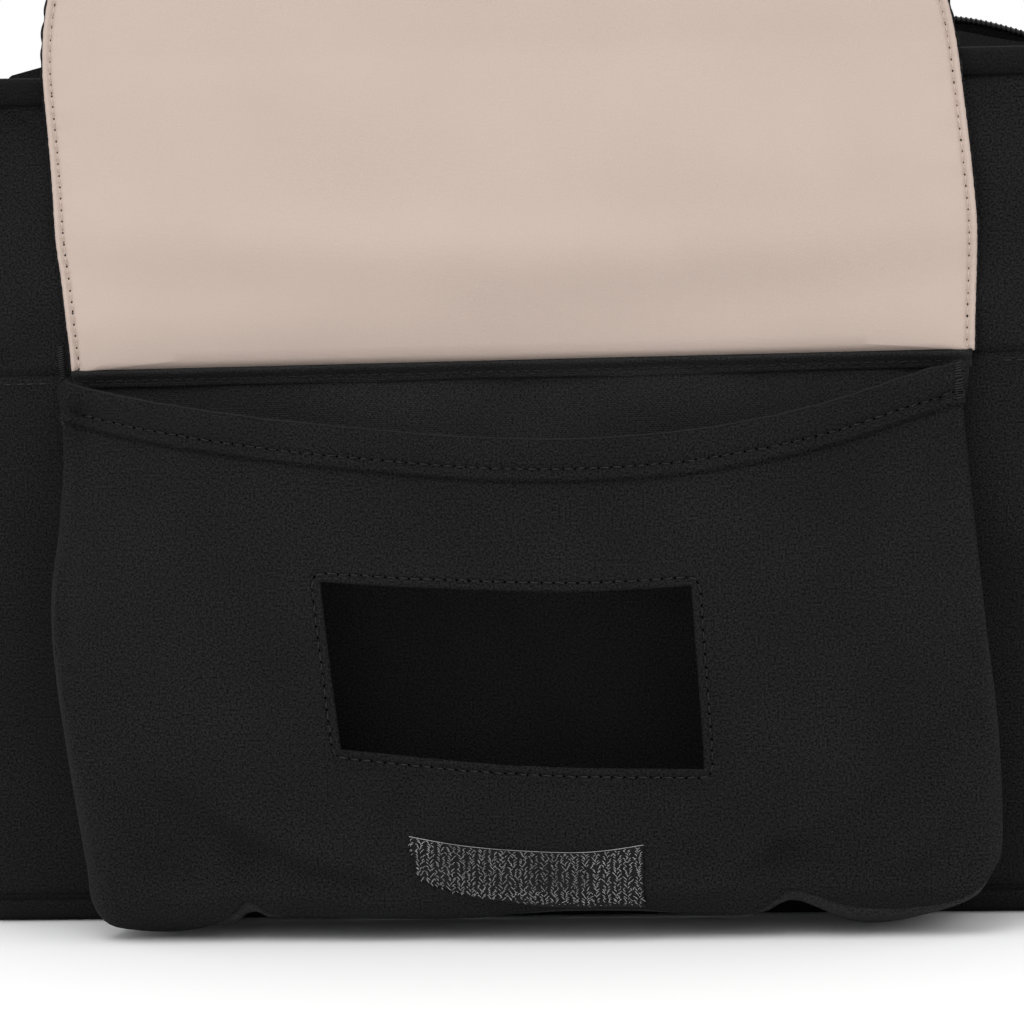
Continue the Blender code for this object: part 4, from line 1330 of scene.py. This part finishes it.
def pocket_relief(flat):
    """The hem along the mouth, with its stitched channel and edge, and the stitched edge round the window."""
    mouth, run = nearest(MOUTH_LINE, flat)
    window, window_run = nearest(WINDOW_LINE, flat, True)
    beat = np.cos(run * 2 * math.pi / STITCH_PITCH)
    window_beat = np.cos(window_run * 2 * math.pi / STITCH_PITCH)
    tug = np.sin(run * 2 * math.pi / (9.5 * MM) + 2.2 * np.sin(run * 2 * math.pi / (33 * MM)))
    height = 1.1 * MM * (1 - smooth((mouth - HEM_EDGE + 0.25 * MM) / (0.45 * MM)))
    height += 0.16 * MM * tug * ridge(mouth - 4.8 * MM, 3.0 * MM)
    height += 0.4 * MM * np.sin(math.pi * np.clip(mouth / HEM_STITCH, 0, 1)) * (mouth < HEM_STITCH)
    height -= (0.6 + 0.3 * beat) * MM * ridge(mouth - HEM_STITCH, 0.65 * MM)
    height -= 0.6 * MM * ridge(mouth - HEM_EDGE - 0.4 * MM, 0.4 * MM)
    height -= 0.6 * MM * np.clip(1 - mouth / (1.2 * MM), 0, 1) ** 2
    height += 0.45 * MM * (1 - smooth((window - 3.6 * MM) / (1.4 * MM)))
    height -= (0.5 + 0.3 * window_beat) * MM * ridge(window - WINDOW_STITCH, 0.65 * MM)
    height -= 0.5 * MM * np.clip(1 - window / (0.9 * MM), 0, 1) ** 2
    return height


def settle_pocket():
    """Lets the pocket's front sag under its own weight, held at its sides and foot."""
    columns, rows = 112, 64
    low, high = POCKET_OUTLINE.min(axis=0), POCKET_OUTLINE.max(axis=0)
    grid_x, grid_z = np.meshgrid(np.linspace(low[0], high[0], columns), np.linspace(low[1], high[1], rows))
    flat = np.stack([grid_x.ravel(), grid_z.ravel()], axis=1)
    within = inside(POCKET_OUTLINE, flat)
    open_window = inside(WINDOW_LINE, flat)
    distance, _ = nearest(POCKET_OUTLINE, flat, True)
    mouth, _ = nearest(MOUTH_LINE[6:-6], flat)
    held = (distance < 3 * MM) & (mouth > 6 * MM)
    points = pocket(grid_x, grid_z)
    holes = (~within | open_window).reshape(rows, columns)
    moves = settled(
        points, held.reshape(rows, columns), gravity=1.0, slack=0.014,
        cap=3.5 * MM, frames=24, bending=0.6, holes=holes,
    )
    moves = moves * [0.25, 1.0, 0.25]  # the pattern sags already, so mostly the folds are wanted
    known = ~holes
    for _ in range(14):
        total, count = np.zeros_like(moves), np.zeros(known.shape)
        for axis, shift in ((0, 1), (0, -1), (1, 1), (1, -1)):
            near = np.roll(known, shift, axis)
            total += np.roll(moves, shift, axis) * near[..., None]
            count += near
        fill = ~known & (count > 0)
        moves[fill] = total[fill] / count[fill][:, None]
        known = known | fill
    return Field(low, high, moves)


def make_pocket():
    fine = tuple((d * MM, LINE_STEP) for d in (0.55, 1.1, 1.8))
    hem = tuple((d * MM, LINE_STEP) for d in (
        3, 4.4, 6, 7.4, 8.2, 8.7, 9.1, 9.6, 10.2, 11, 11.6, 12.0, 12.4, 12.9, 13.6
    ))
    around = tuple((d * MM, LINE_STEP) for d in (0.5, 1.0, 1.6, 2.1, 2.5, 2.9, 3.4, 4.0, 4.6, 5.4))
    rows = [
        (MOUTH_LINE, False, fine + hem),
        (FOOT_LINE, False, ((1.0 * MM, LINE_STEP), (2.2 * MM, 2 * LINE_STEP), (4 * MM, 2 * LINE_STEP))),
        (WINDOW_LINE, True, around),
    ]
    flat, triangles = cut(POCKET_OUTLINE, [WINDOW_LINE], rows, 2.6 * MM)
    front = sheet_object(
        "pocket_front_cloth", flat, triangles, pocket, pocket_relief, BLACK, thickness=0.9 * MM
    )
    finish_piece(front, "root", "black_fabric", "pocket_front")

    def lie(flat_points, lift):
        return laid(pocket, pocket_relief, flat_points, lift)

    hem_line = beside(MOUTH_LINE, HEM_STITCH)[3:-3]
    window_line = even(beside(WINDOW_LINE, WINDOW_STITCH, True), LINE_STEP, True)
    window_line = np.concatenate([window_line, window_line[:1]])
    paths = [stitch_paths(hem_line, lie, seed=71), stitch_paths(window_line, lie, seed=72)]
    threads = many_tubes("pocket_stitches", np.concatenate(paths), HEAVY_THREAD, 5, BLACK_THREAD)
    finish_piece(threads, "root", "black_fabric")
    # The mouth's rolled edge as a thin tube in the lighter cloth: a painted highlight along the edge.
    fold = laid(pocket, pocket_relief, even(beside(MOUTH_LINE, 0.45 * MM), 0.8 * MM)[4:-4], 0.0)
    finish_piece(tube("pocket_mouth_fold_highlight", fold, 0.24 * MM, 7, LIT_BLACK), "root", "black_fabric")
    holes = [needle_holes(hem_line, lie, 73), needle_holes(window_line, lie, 74)]
    marks = many_tubes("pocket_needle_holes", np.concatenate(holes), NEEDLE_HOLE, 6, HOLE_SHADE_BLACK, taper=0.8)
    finish_piece(marks, "root", "black_fabric")
    make_facings()
    make_gusset()


def make_facings():
    """The turned hem behind the mouth and the turned edge behind the window."""
    behind = -1.5 * MM
    outer = MOUTH_LINE[8:-8]
    inner = even(beside(MOUTH_LINE, HEM_EDGE)[8:-8], LINE_STEP)
    loop = np.concatenate([beside(outer, 0.6 * MM), inner[::-1]])
    flat, triangles = cut(loop, [], [], 2.8 * MM)

    def back(points):
        return np.full(len(points), behind)

    obj = sheet_object("mouth_hem_cloth", flat, triangles, pocket, back, BLACK, thickness=0.5 * MM)
    finish_piece(obj, "root", "black_fabric", "pocket_mouth_facing")
    grown = beside(WINDOW_LINE, 9 * MM, True)
    inner = beside(WINDOW_LINE, 0.7 * MM, True)
    flat, triangles = cut(grown, [inner], [], 2.4 * MM)
    obj = sheet_object("window_hem_cloth", flat, triangles, pocket, back, BLACK, thickness=0.5 * MM)
    finish_piece(obj, "root", "black_fabric", "window_facing")


def make_gusset():
    """The bellows that joins the pocket's front to the body at its sides and foot, with one pleat in it."""
    line = even(FOOT_LINE, 2.4 * MM)
    along = directions(line)
    inward = np.stack([-along[:, 1], along[:, 0]], axis=1)
    front = laid(pocket, pocket_relief, line, -0.3 * MM)
    shares = np.linspace(0, 1, 19)
    foot = smooth((30 * MM - line[:, 1]) / (26 * MM))
    points = []
    for share in shares:
        y = front[:, 1] + (POCKET_BACK + 0.6 * MM - front[:, 1]) * share
        depth = POCKET_BACK - front[:, 1]
        pleat = np.minimum(0.2 * depth, 6.5 * MM) * (1 - np.abs(2 * share - 1)) ** 0.9 * (1 - 0.75 * foot)
        inset = pleat + 2.0 * MM * share
        low = 1.2 * MM + 6.2 * MM * ridge(line[:, 0] - 95 * MM, 27 * MM)
        low = low + 4.5 * MM * ridge(line[:, 0] + 80 * MM, 9 * MM)
        sag = -low * foot * math.sin(math.pi * share) ** 0.7
        wavy = 0.5 * MM * ripple(line[:, 1] + line[:, 0] * 0.6, np.full(len(line), share * 0.03), 26 * MM, 81)
        wavy = wavy * math.sin(math.pi * share)
        x = front[:, 0] + (line[:, 0] - front[:, 0]) * share + inward[:, 0] * (inset + wavy)
        z = front[:, 2] + (line[:, 1] - front[:, 2]) * share + inward[:, 1] * (inset + wavy) + sag
        z = z - foot * share**0.3 * np.clip(line[:, 1] - 5.4 * MM, -1 * MM, 9 * MM) * 0.9
        points.append(np.stack([x, y, np.maximum(z, 0.9 * MM)], axis=-1))
    # The bellows take the lighter cloth: painted light on the gusset, which lies in shade under the pocket's
    # foot.
    obj = lattice("pocket_bellows", np.array(points)[::-1], LIT_BLACK, thickness=0.9 * MM)
    finish_piece(
        obj, "root", "black_fabric", "pocket_gusset_left", "pocket_gusset_right", "pocket_gusset_bottom"
    )


def make_hook_tape():
    """A strip of hooks sewn along the pocket's foot: rows of tiny curved hooks on a woven base."""
    top, foot = curve_through(in_mm(HOOK_TOP), 1 * MM), curve_through(in_mm(HOOK_FOOT), 1 * MM)

    def between(across, down):
        """Flat points of the tape from two shares."""
        x = top[0, 0] + (top[-1, 0] - top[0, 0]) * np.asarray(across)
        high = np.interp(x, top[:, 0], top[:, 1])
        low = np.interp(x, foot[:, 0], foot[:, 1])
        return np.stack([x, high + (low - high) * np.asarray(down)], axis=-1)

    grid_a, grid_d = np.meshgrid(np.linspace(0, 1, 54), np.linspace(1, 0, 16))
    flat = between(grid_a.ravel(), grid_d.ravel())
    points = laid(pocket, pocket_relief, flat, 0.75 * MM).reshape(16, 54, 3)
    base = lattice("hook_tape_base", points, HOOK_BASE, thickness=0.7 * MM)
    finish_piece(base, "root", "hook_tape_grey", "hook_tape")
    random = np.random.default_rng(5)
    hooks = []
    columns = 45
    for i in range(columns):
        a = (i + 0.5) / columns
        height = float(np.diff(between(np.array([a, a]), np.array([1.0, 0.0]))[:, 1])[0])
        rows = max(2, round(height / (0.62 * MM)))
        for j in range(rows):
            d = (j + (0.3 if i % 2 else 0.8)) / rows + random.normal(0, 0.2) / rows
            size = random.uniform(0.7, 1.2)
            centre = between(np.array([a + random.normal(0, 0.0042)]), np.array([min(max(d, 0.02), 1.03)]))[0]
            side = np.array([1.0 if random.random() < (0.88 if i % 2 else 0.15) else -1.0, 0.0])
            down = np.array([random.normal(0.0, 0.15), -1.0])
            flat = np.array([
                centre - side * 0.3 * MM, centre - side * 0.2 * MM * size,
                centre + (side * 0.12 + down * 0.1) * MM * size,
                centre + (side * 0.36 + down * 0.38) * MM * size,
                centre + (side * 0.42 + down * 0.68) * MM * size,
            ])
            lift = np.array([0.3, 1.0, 1.45, 1.35, 0.95]) * MM * random.uniform(0.7, 1.05)
            points = laid(pocket, pocket_relief, flat, 0.0)
            points[:, 1] -= lift
            hooks.append(points)
    rim = between(np.linspace(0, 1, 90), np.zeros(90))
    rim_points = laid(pocket, pocket_relief, rim, 0.8 * MM)
    selvedge = tube("hook_tape_selvedge", rim_points, 0.09 * MM, 6, HOOK_NYLON)
    finish_piece(selvedge, "root", "hook_tape_grey")
    obj = many_tubes("hook_tape_hooks", np.array(hooks), 0.085 * MM, 4, HOOK_NYLON, taper=0.8)
    finish_piece(obj, "root", "hook_tape_grey")


# ---------------------------------------------------------------- flap

def flap_half_width(s):
    widen = FLAP_ROOT + (FLAP_WIDEST - FLAP_ROOT) * smooth(s / (42 * MM))
    radius = FLAP_LENGTH - FLAP_ARC_START
    past = np.clip(s - FLAP_ARC_START, 0, radius)
    return widen - radius + np.sqrt(np.maximum(radius**2 - past**2, 0))


def flap_outline(step, start):
    """The flap's right side, tip and left side, as a line."""
    radius = FLAP_LENGTH - FLAP_ARC_START
    low = np.arange(start, FLAP_ARC_START, step)
    angle = np.linspace(0, math.pi / 2, int(radius * math.pi / 2 / step))
    s = np.concatenate([low, FLAP_ARC_START + radius * np.sin(angle)])
    right = np.stack([flap_half_width(s), s], axis=1)
    left = right[::-1] * [-1, 1]
    return even(np.concatenate([right, left[1:]]), step)


def flap_shift(s):
    """The lifted flap drifts to the left as it goes up."""
    drift = 4 * MM * (1 - np.cos(math.pi * np.clip(s / (150 * MM), 0, 1)))
    return -0.8 * MM - drift - 0.4 * MM * smooth((s - 60 * MM) / (50 * MM))


def flap(u, s):
    """The flap's lining face: it rises from its seam, bellies forward a little and leans back."""
    belly = 3.6 * MM * np.sin(math.pi * np.clip(s / FLAP_BELLY_END, 0, 1))
    belly = belly - 1.5 * MM * smooth((s - FLAP_BELLY_END) / (90 * MM))
    phase = (s + 6 * MM * np.sin(u / (70 * MM) + 1)) * 2 * math.pi / (31 * MM)
    wave = 0.75 * MM * np.sin(phase) * ridge(s - 26 * MM, 19 * MM)
    soft = 0.9 * MM * ripple(u * 0.55, s, 62 * MM, 91) * smooth(s / (24 * MM))
    cross = -1.6 * MM * (np.abs(u) / FLAP_ROOT) ** 4 * smooth(s / (30 * MM))
    out = belly + wave + soft + cross
    cosine, sine = math.cos(FLAP_LEAN), math.sin(FLAP_LEAN)
    x = u + flap_shift(s)
    y = HINGE.y + s * sine - out * cosine
    z = HINGE.z + s * cosine + out * sine
    return np.stack([x, y, z], axis=-1)


FLAP_EDGE = flap_outline(1.13 * MM, 0.2 * MM)


def scalloped(line, offset):
    """The flap's outline moved out by the offset, and drawn in a little between its stitches."""
    along = directions(line)
    run = run_along(line)
    wavy = 0.09 * MM * np.sin(run * 2 * math.pi / (2 * STITCH_PITCH))
    wavy = wavy + 0.05 * MM * np.sin(run * 2 * math.pi / (11 * MM))
    out = offset + wavy * smooth(run / (8 * MM)) * smooth((run[-1] - run) / (8 * MM))
    return line + out[:, None] * np.stack([along[:, 1], -along[:, 0]], axis=1)


def flap_pinch(flat):
    """0 at the flap's edge, where its layers meet, and 1 inside."""
    distance, run = nearest(FLAP_EDGE, flat)
    return smooth(distance / (9 * MM)), distance, run


def lining_relief(flat):
    pinch, distance, run = flap_pinch(flat)
    beat = np.cos(run * 2 * math.pi / STITCH_PITCH)
    height = -0.9 * MM * (1 - pinch)
    height += 0.55 * MM * ridge(distance - 1.1 * MM, 0.9 * MM) * (1 - 0.22 * beat)
    height -= (0.75 + 0.3 * beat) * MM * ridge(distance - FLAP_STITCH_IN, 0.62 * MM)
    tug = np.sin(run * 2 * math.pi / (23 * MM) + 2 * np.sin(run * 2 * math.pi / (61 * MM)))
    height += 0.22 * MM * tug * ridge(distance - 5.5 * MM, 3.2 * MM)
    fine_tug = np.sin(run * 2 * math.pi / (7.1 * MM) + 3 * np.sin(run * 2 * math.pi / (29 * MM)))
    height += 0.10 * MM * fine_tug * ridge(distance - 4 * MM, 1.8 * MM)
    height -= 0.5 * MM * np.clip(1 - distance / (0.9 * MM), 0, 1) ** 2
    height -= 0.5 * MM * np.clip(1 - flat[:, 1] / (2 * MM), 0, 1) ** 2
    return height


def shell_relief(flat):
    """The outer cloth, as a height over the lining's face: it meets the lining at the edge."""
    pinch, distance, run = flap_pinch(flat)
    beat = np.cos(run * 2 * math.pi / STITCH_PITCH)
    height = -3.9 * MM + 1.5 * MM * (1 - pinch)
    height += (0.5 + 0.2 * beat) * MM * ridge(distance - FLAP_STITCH_IN, 0.7 * MM)
    height += 1.1 * MM * np.clip(1 - distance / (1.1 * MM), 0, 1) ** 1.5
    return height


def make_flap():
    start = flap(np.array([0.0]), np.array([FLAP_FOLD - FLAP_BEND]))[0]
    end = flap(np.array([0.0]), np.array([FLAP_FOLD + FLAP_BEND]))[0]
    body = ("flap_base", "flap_main", tuple(start), tuple(end))
    close = tuple((d * MM, 1.13 * MM) for d in (
        0.4, 0.85, 1.3, 1.7, 2.05, 2.4, 2.75, 3.1, 3.6, 4.3, 5.2, 6.4, 8.0
    ))
    outline = scalloped(FLAP_EDGE, 0.0)
    flat, triangles = cut(outline, [], [(FLAP_EDGE, False, close)], 3.4 * MM)
    lining = sheet_object("flap_lining", flat, triangles, flap, lining_relief, BEIGE, thickness=0.35 * MM)
    finish_piece(lining, body, "beige_lining", "flap_lining_base", "flap_lining_main")
    wide = scalloped(FLAP_EDGE, 0.26 * MM)
    flat, triangles = cut(wide, [], [(wide, False, close)], 4 * MM)
    shell = sheet_object(
        "flap_shell", flat, triangles, flap, shell_relief, BLACK, thickness=0.5 * MM, flip=True
    )
    finish_piece(shell, body, "black_fabric", "flap_shell_base", "flap_shell_main")
    inner = beside(FLAP_EDGE, 12 * MM)
    inner = inner[inner[:, 1] > 2 * MM]
    flat, triangles = cut(inner, [], [], 5 * MM)

    def padding(points):
        return np.full(len(points), -1.1 * MM)

    wadding = sheet_object("flap_wadding", flat, triangles, flap, padding, FOAM_WHITE, thickness=1.3 * MM)
    finish_piece(wadding, body, "white_foam", "flap_wadding_base", "flap_wadding_main")

    def lie(points, lift):
        return laid(flap, lining_relief, points, lift)

    def lie_behind(points, lift):
        return laid(flap, shell_relief, points, -lift)

    line = beside(FLAP_EDGE, FLAP_STITCH_IN)
    paths = stitch_paths(line, lie, length=2.5 * MM, rise=0.12 * MM, seed=92)
    threads = many_tubes("flap_lining_stitches", paths, FINE_THREAD, 5, BEIGE_THREAD)
    finish_piece(threads, body, "beige_lining")
    paths = stitch_paths(line, lie_behind, seed=93)
    threads = many_tubes("flap_shell_stitches", paths, THREAD, 5, BLACK_THREAD)
    finish_piece(threads, body, "black_fabric")
    holes = needle_holes(line, lie, 94)
    marks = many_tubes("flap_needle_holes", holes, NEEDLE_HOLE, 7, HOLE_SHADE_ON_LINING, taper=0.8)
    finish_piece(marks, body, "beige_lining")
    make_loop_tape(lie)
    make_flap_root()


def needle_holes(line, lie, seed):
    """A dark plug in the small hole where each stitch goes in: painted shade for the hole."""
    run = run_along(line)
    random = np.random.default_rng(seed)
    at = np.arange(0, run[-1], STITCH_PITCH)
    at = at + random.normal(0, 0.12 * MM, len(at))
    centre = np.stack([np.interp(at, run, line[:, 0]), np.interp(at, run, line[:, 1])], axis=1)
    centre = centre + random.normal(0, 0.06 * MM, centre.shape)
    return np.stack([lie(centre, -0.4 * MM), lie(centre, 0.08 * MM), lie(centre, 0.2 * MM)], axis=1)


def make_loop_tape(lie):
    """The strip of soft loops near the tip, on the lining side."""
    columns, rows = 112, 36
    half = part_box("loop_tape")[1].x
    u = np.linspace(-half, half, columns) - flap_shift(np.array(180 * MM))
    s = np.linspace(FLAP_LENGTH - 26 * MM, FLAP_LENGTH - 6 * MM, rows)
    grid_u, grid_s = np.meshgrid(u, s)
    flat = np.stack([grid_u.ravel(), grid_s.ravel()], axis=1)
    random = np.random.default_rng(6)
    pile = 1.2 * MM + 0.22 * MM * random.normal(0, 1, len(flat))
    edge = np.minimum.reduce([
        flat[:, 0] - u[0], u[-1] - flat[:, 0], flat[:, 1] - s[0], s[-1] - flat[:, 1],
    ])
    pile = np.where(edge < 1.2 * MM, 0.45 * MM, pile)
    points = np.array(lie(flat, 0.0))
    above = lie(flat, 1 * MM) - points
    above /= np.linalg.norm(above, axis=1)[:, None]
    points = points + above * pile[:, None]
    obj = lattice("loop_tape_pile", points.reshape(rows, columns, 3), LOOP_PILE, thickness=0.4 * MM)
    finish_piece(obj, "flap_main", "loop_tape_black", "loop_tape")


def make_flap_root():
    """The folded band that sews the flap into the cross seam, and goes on up behind the lining."""
    profile = curve_through(in_mm([
        (-70.6, 157.7), (-71.6, 157.9), (-72.1, 158.6), (-72.4, 159.6), (-73.0, 160.5), (-73.9, 161.5),
        (-74.3, 162.2), (-74.0, 162.8), (-73.0, 163.3), (-71.9, 164.6), (-71.3, 167.0), (-71.0, 170.0),
    ]), 0.8 * MM)
    x = np.linspace(-FLAP_ROOT - 0.5 * MM, FLAP_ROOT - 1.8 * MM, 130)
    beat = np.cos(x * 2 * math.pi / STITCH_PITCH)
    points = []
    q = front_q(x)
    for y, z in profile:
        wavy = 0.35 * MM * ripple(x, np.full_like(x, z), 34 * MM, 95)
        dent = 0.3 * MM * ridge(z - 159.8 * MM, 0.8 * MM) * (1 + 0.4 * beat)
        height = np.full_like(x, min(z, SEAM_Z))
        cloth = wall(q, height, wall_grooves(q, height))[:, 1] - 0.35 * MM
        points.append(np.stack([x, np.minimum(y + wavy * 0.6 + dent, cloth), z + wavy * 0.3], axis=-1))
    # The band takes the lighter cloth: painted light, as the band lies in the flap's shade.
    obj = lattice("flap_root_band", np.array(points), LIT_BLACK, thickness=0.5 * MM)
    hinge = ("root", "flap_base", (0, HINGE.y, HINGE.z - 0.8 * MM), (0, HINGE.y, HINGE.z + 3 * MM))
    finish_piece(obj, hinge, "black_trim", "flap_seam_band")

    def lie(flat, lift):
        at = front_q(flat[:, 0])
        cloth = wall(at, flat[:, 1], wall_grooves(at, flat[:, 1]))[:, 1] - 0.35 * MM
        y = np.minimum(np.interp(flat[:, 1], profile[:, 1], profile[:, 0]), cloth)
        return np.stack([flat[:, 0], y - lift + 0.05 * MM, flat[:, 1]], axis=-1)

    line = straight((-FLAP_ROOT + 2 * MM, 159.8 * MM), (FLAP_ROOT - 5 * MM, 159.8 * MM))
    threads = [stitch_paths(line, lie, seed=96)]

    def lie_on_wall(flat, lift):
        q = front_q(flat[:, 0])
        return wall(q, flat[:, 1], lift + wall_grooves(q, flat[:, 1]))

    for side in (-1, 1):
        ends = sorted((side * (FLAP_ROOT + 7 * MM), side * (HALF_WIDTH - 8 * MM)))
        line = straight((ends[0], SEAM_Z - 2.6 * MM), (ends[1], SEAM_Z - 2.6 * MM))
        threads.append(stitch_paths(line, lie_on_wall, seed=97 + side))
        tacks = []
        for i in range(15):
            if side > 0:
                centre, height = 125.4 * MM, SEAM_Z + (-13 + 10 * i / 14) * MM
            else:
                centre, height = -FLAP_ROOT - 3.8 * MM, SEAM_Z + (-1 + 9 * i / 14) * MM
            flat = np.array([(centre + t * MM, height + 0.25 * t * MM) for t in (-1, -0.5, 0, 0.5, 1)])
            points = lie_on_wall(flat, 0.0) if side < 0 else laid(pocket, pocket_relief, flat, 0.0)
            points[:, 1] -= np.array([0.0, 0.2, 0.28, 0.2, 0.0]) * MM
            tacks.append(points)
        threads.append(np.array(tacks))
    obj = many_tubes("seam_stitches", np.concatenate(threads), HEAVY_THREAD, 5, BLACK_THREAD)
    finish_piece(obj, "root", "black_fabric")


# ---------------------------------------------------------------- side tabs and rings

RING_WIRE = 1.75 * MM  # its radius
TAB_HALF_WIDTH = 11 * MM
TACK_HALF_WIDTH = 8.5 * MM  # of the stitched box on the tab


def make_side_rings():
    """A D-ring on each side, in a folded webbing tab that is sewn down with a crossed box."""
    for name, side in (("left", -1), ("right", 1)):
        low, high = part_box(f"d_ring_{name}")
        wire = RING_WIRE
        axis_x = (low.x + high.x) / 2
        axis_z = high.z - wire
        half = (high.y - low.y) / 2 - wire
        leg = (high.z - low.z) - 2 * wire - half
        ring = [(0, -half + 2 * MM, 0), (0, 0, 0), (0, half - 2 * MM, 0)]
        ring += [(0, half - 0.6 * MM, -0.6 * MM), (0, half, -2 * MM), (0, half, -leg)]
        for i in range(1, 16):
            angle = math.pi * i / 16
            ring.append((0, half * math.cos(angle), -leg - half * math.sin(angle)))
        ring += [(0, -half, -leg), (0, -half, -2 * MM), (0, -half + 0.6 * MM, -0.6 * MM)]
        path = curve_through(ring, 0.9 * MM, True) + [axis_x, 0, axis_z]
        obj = tube(f"d_ring_{name}_wire", path, wire, 14, GUNMETAL, closed=True)
        finish_piece(obj, f"d_ring_{name}", "dark_metal", f"d_ring_{name}")
        tab_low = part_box(f"side_tab_{name}")[0].z
        heights = np.linspace(tab_low, axis_z - 7 * MM, 14)
        q = 1.5 if side > 0 else 3.5
        out = np.abs(wall(np.full_like(heights, q), heights)[:, 0]) + 0.9 * MM
        route = list(zip(out, heights))
        radius = wire + 1.1 * MM
        for i in range(11):
            angle = math.pi * (1 - i / 10 * 1.35)
            route.append((abs(axis_x) + radius * math.cos(angle), axis_z + radius * math.sin(angle)))
        route += [(abs(axis_x) - 0.2 * MM, axis_z - 6.5 * MM), (abs(axis_x) - 0.9 * MM, axis_z - 12 * MM)]
        route = curve_through(route, 1.0 * MM)
        across = np.linspace(-TAB_HALF_WIDTH, TAB_HALF_WIDTH, 19)
        points = np.array([[(side * x, y, z) for y in across] for x, z in route])
        tab = lattice(f"side_tab_{name}_webbing", points, WEBBING, thickness=1.1 * MM, flip=side < 0)
        finish_piece(tab, "root", "black_webbing", f"side_tab_{name}")
        box_low, box_high = tab_low + 2 * MM, axis_z - 14 * MM
        near, far = -TACK_HALF_WIDTH, TACK_HALF_WIDTH
        corners = [(near, box_low), (far, box_low), (far, box_high), (near, box_high)]
        corners += [(near, box_low), (far, box_high)]
        paths = []
        for a, b in zip(corners, corners[1:]):

            def lie(flat, lift, side=side, q=q):
                x = np.abs(wall(np.full(len(flat), q), flat[:, 1])[:, 0]) + 0.95 * MM
                return np.stack([side * (x + lift), flat[:, 0], flat[:, 1]], axis=-1)

            paths.append(stitch_paths(straight(a, b), lie, pitch=2.8 * MM, length=2.1 * MM, seed=111))
        obj = many_tubes(f"side_tab_{name}_stitches", np.concatenate(paths), THREAD, 5, BLACK_THREAD)
        finish_piece(obj, "root", "black_webbing")


# ---------------------------------------------------------------- stage

CAMERA_AZIMUTH = math.radians(5.5)
CAMERA_ELEVATION = math.radians(2.75)
CAMERA_ROLL = math.radians(-1.45)
CAMERA_DISTANCE = 1.0
CAMERA_LENS = 120.8
CAMERA_AIM = Vector((-3.8 * MM, -HALF_DEPTH, 118.9 * MM))


def make_camera():
    data = bpy.data.cameras.new("camera")
    data.lens = CAMERA_LENS
    data.sensor_width = 36
    data.clip_start = 0.05
    data.clip_end = 60
    camera = bpy.data.objects.new("camera", data)
    scene.collection.objects.link(camera)
    a, e = CAMERA_AZIMUTH, CAMERA_ELEVATION
    back = Vector((math.sin(a) * math.cos(e), -math.cos(a) * math.cos(e), math.sin(e)))
    camera.location = CAMERA_AIM + back * CAMERA_DISTANCE
    camera.rotation_mode = "QUATERNION"
    turn = (-back).to_track_quat("-Z", "Y")
    camera.rotation_quaternion = turn @ Quaternion((0, 0, 1), CAMERA_ROLL)
    scene.camera = camera


def area_light(name, place, size, power, aim=(0, 0, 0.12)):
    data = bpy.data.lights.new(name, "AREA")
    data.energy = power
    data.size = size
    obj = bpy.data.objects.new(name, data)
    scene.collection.objects.link(obj)
    obj.location = place
    obj.rotation_euler = (Vector(aim) - Vector(place)).to_track_quat("-Z", "Y").to_euler()


def make_stage():
    white = bpy.data.materials.new("studio_white")
    white.use_nodes = True
    shader = white.node_tree.nodes["Principled BSDF"]
    shader.inputs["Base Color"].default_value = (0.95, 0.95, 0.95, 1)
    shader.inputs["Roughness"].default_value = 0.9
    shader.inputs["Specular IOR Level"].default_value = 0.1
    mesh = bpy.data.meshes.new("studio_floor")
    reach, low = 12.0, -0.3 * MM
    corners = [(-reach, -reach, low), (reach, -reach, low), (reach, reach, low), (-reach, reach, low)]
    mesh.from_pydata(corners, [], [(0, 1, 2, 3)])
    mesh.materials.append(white)
    floor = bpy.data.objects.new("studio_floor", mesh)
    scene.collection.objects.link(floor)
    world = bpy.data.worlds.new("studio")
    world.use_nodes = True
    background = world.node_tree.nodes["Background"]
    background.inputs["Color"].default_value = (1, 1, 1, 1)
    background.inputs["Strength"].default_value = 1.0
    scene.world = world
    area_light("key", (-0.4, -1.3, 2.0), 1.4, 14)
    area_light("top", (0.2, 0.2, 2.0), 1.8, 4)
    scene.view_settings.view_transform = "Standard"


wall_moves = settle_walls()
pocket_moves = settle_pocket()
make_camera()
make_stage()
make_body()
make_bands()
make_board()
make_inside()
make_roof()
make_slider()
make_pull()
make_pocket()
make_hook_tape()
make_flap()
make_side_rings()
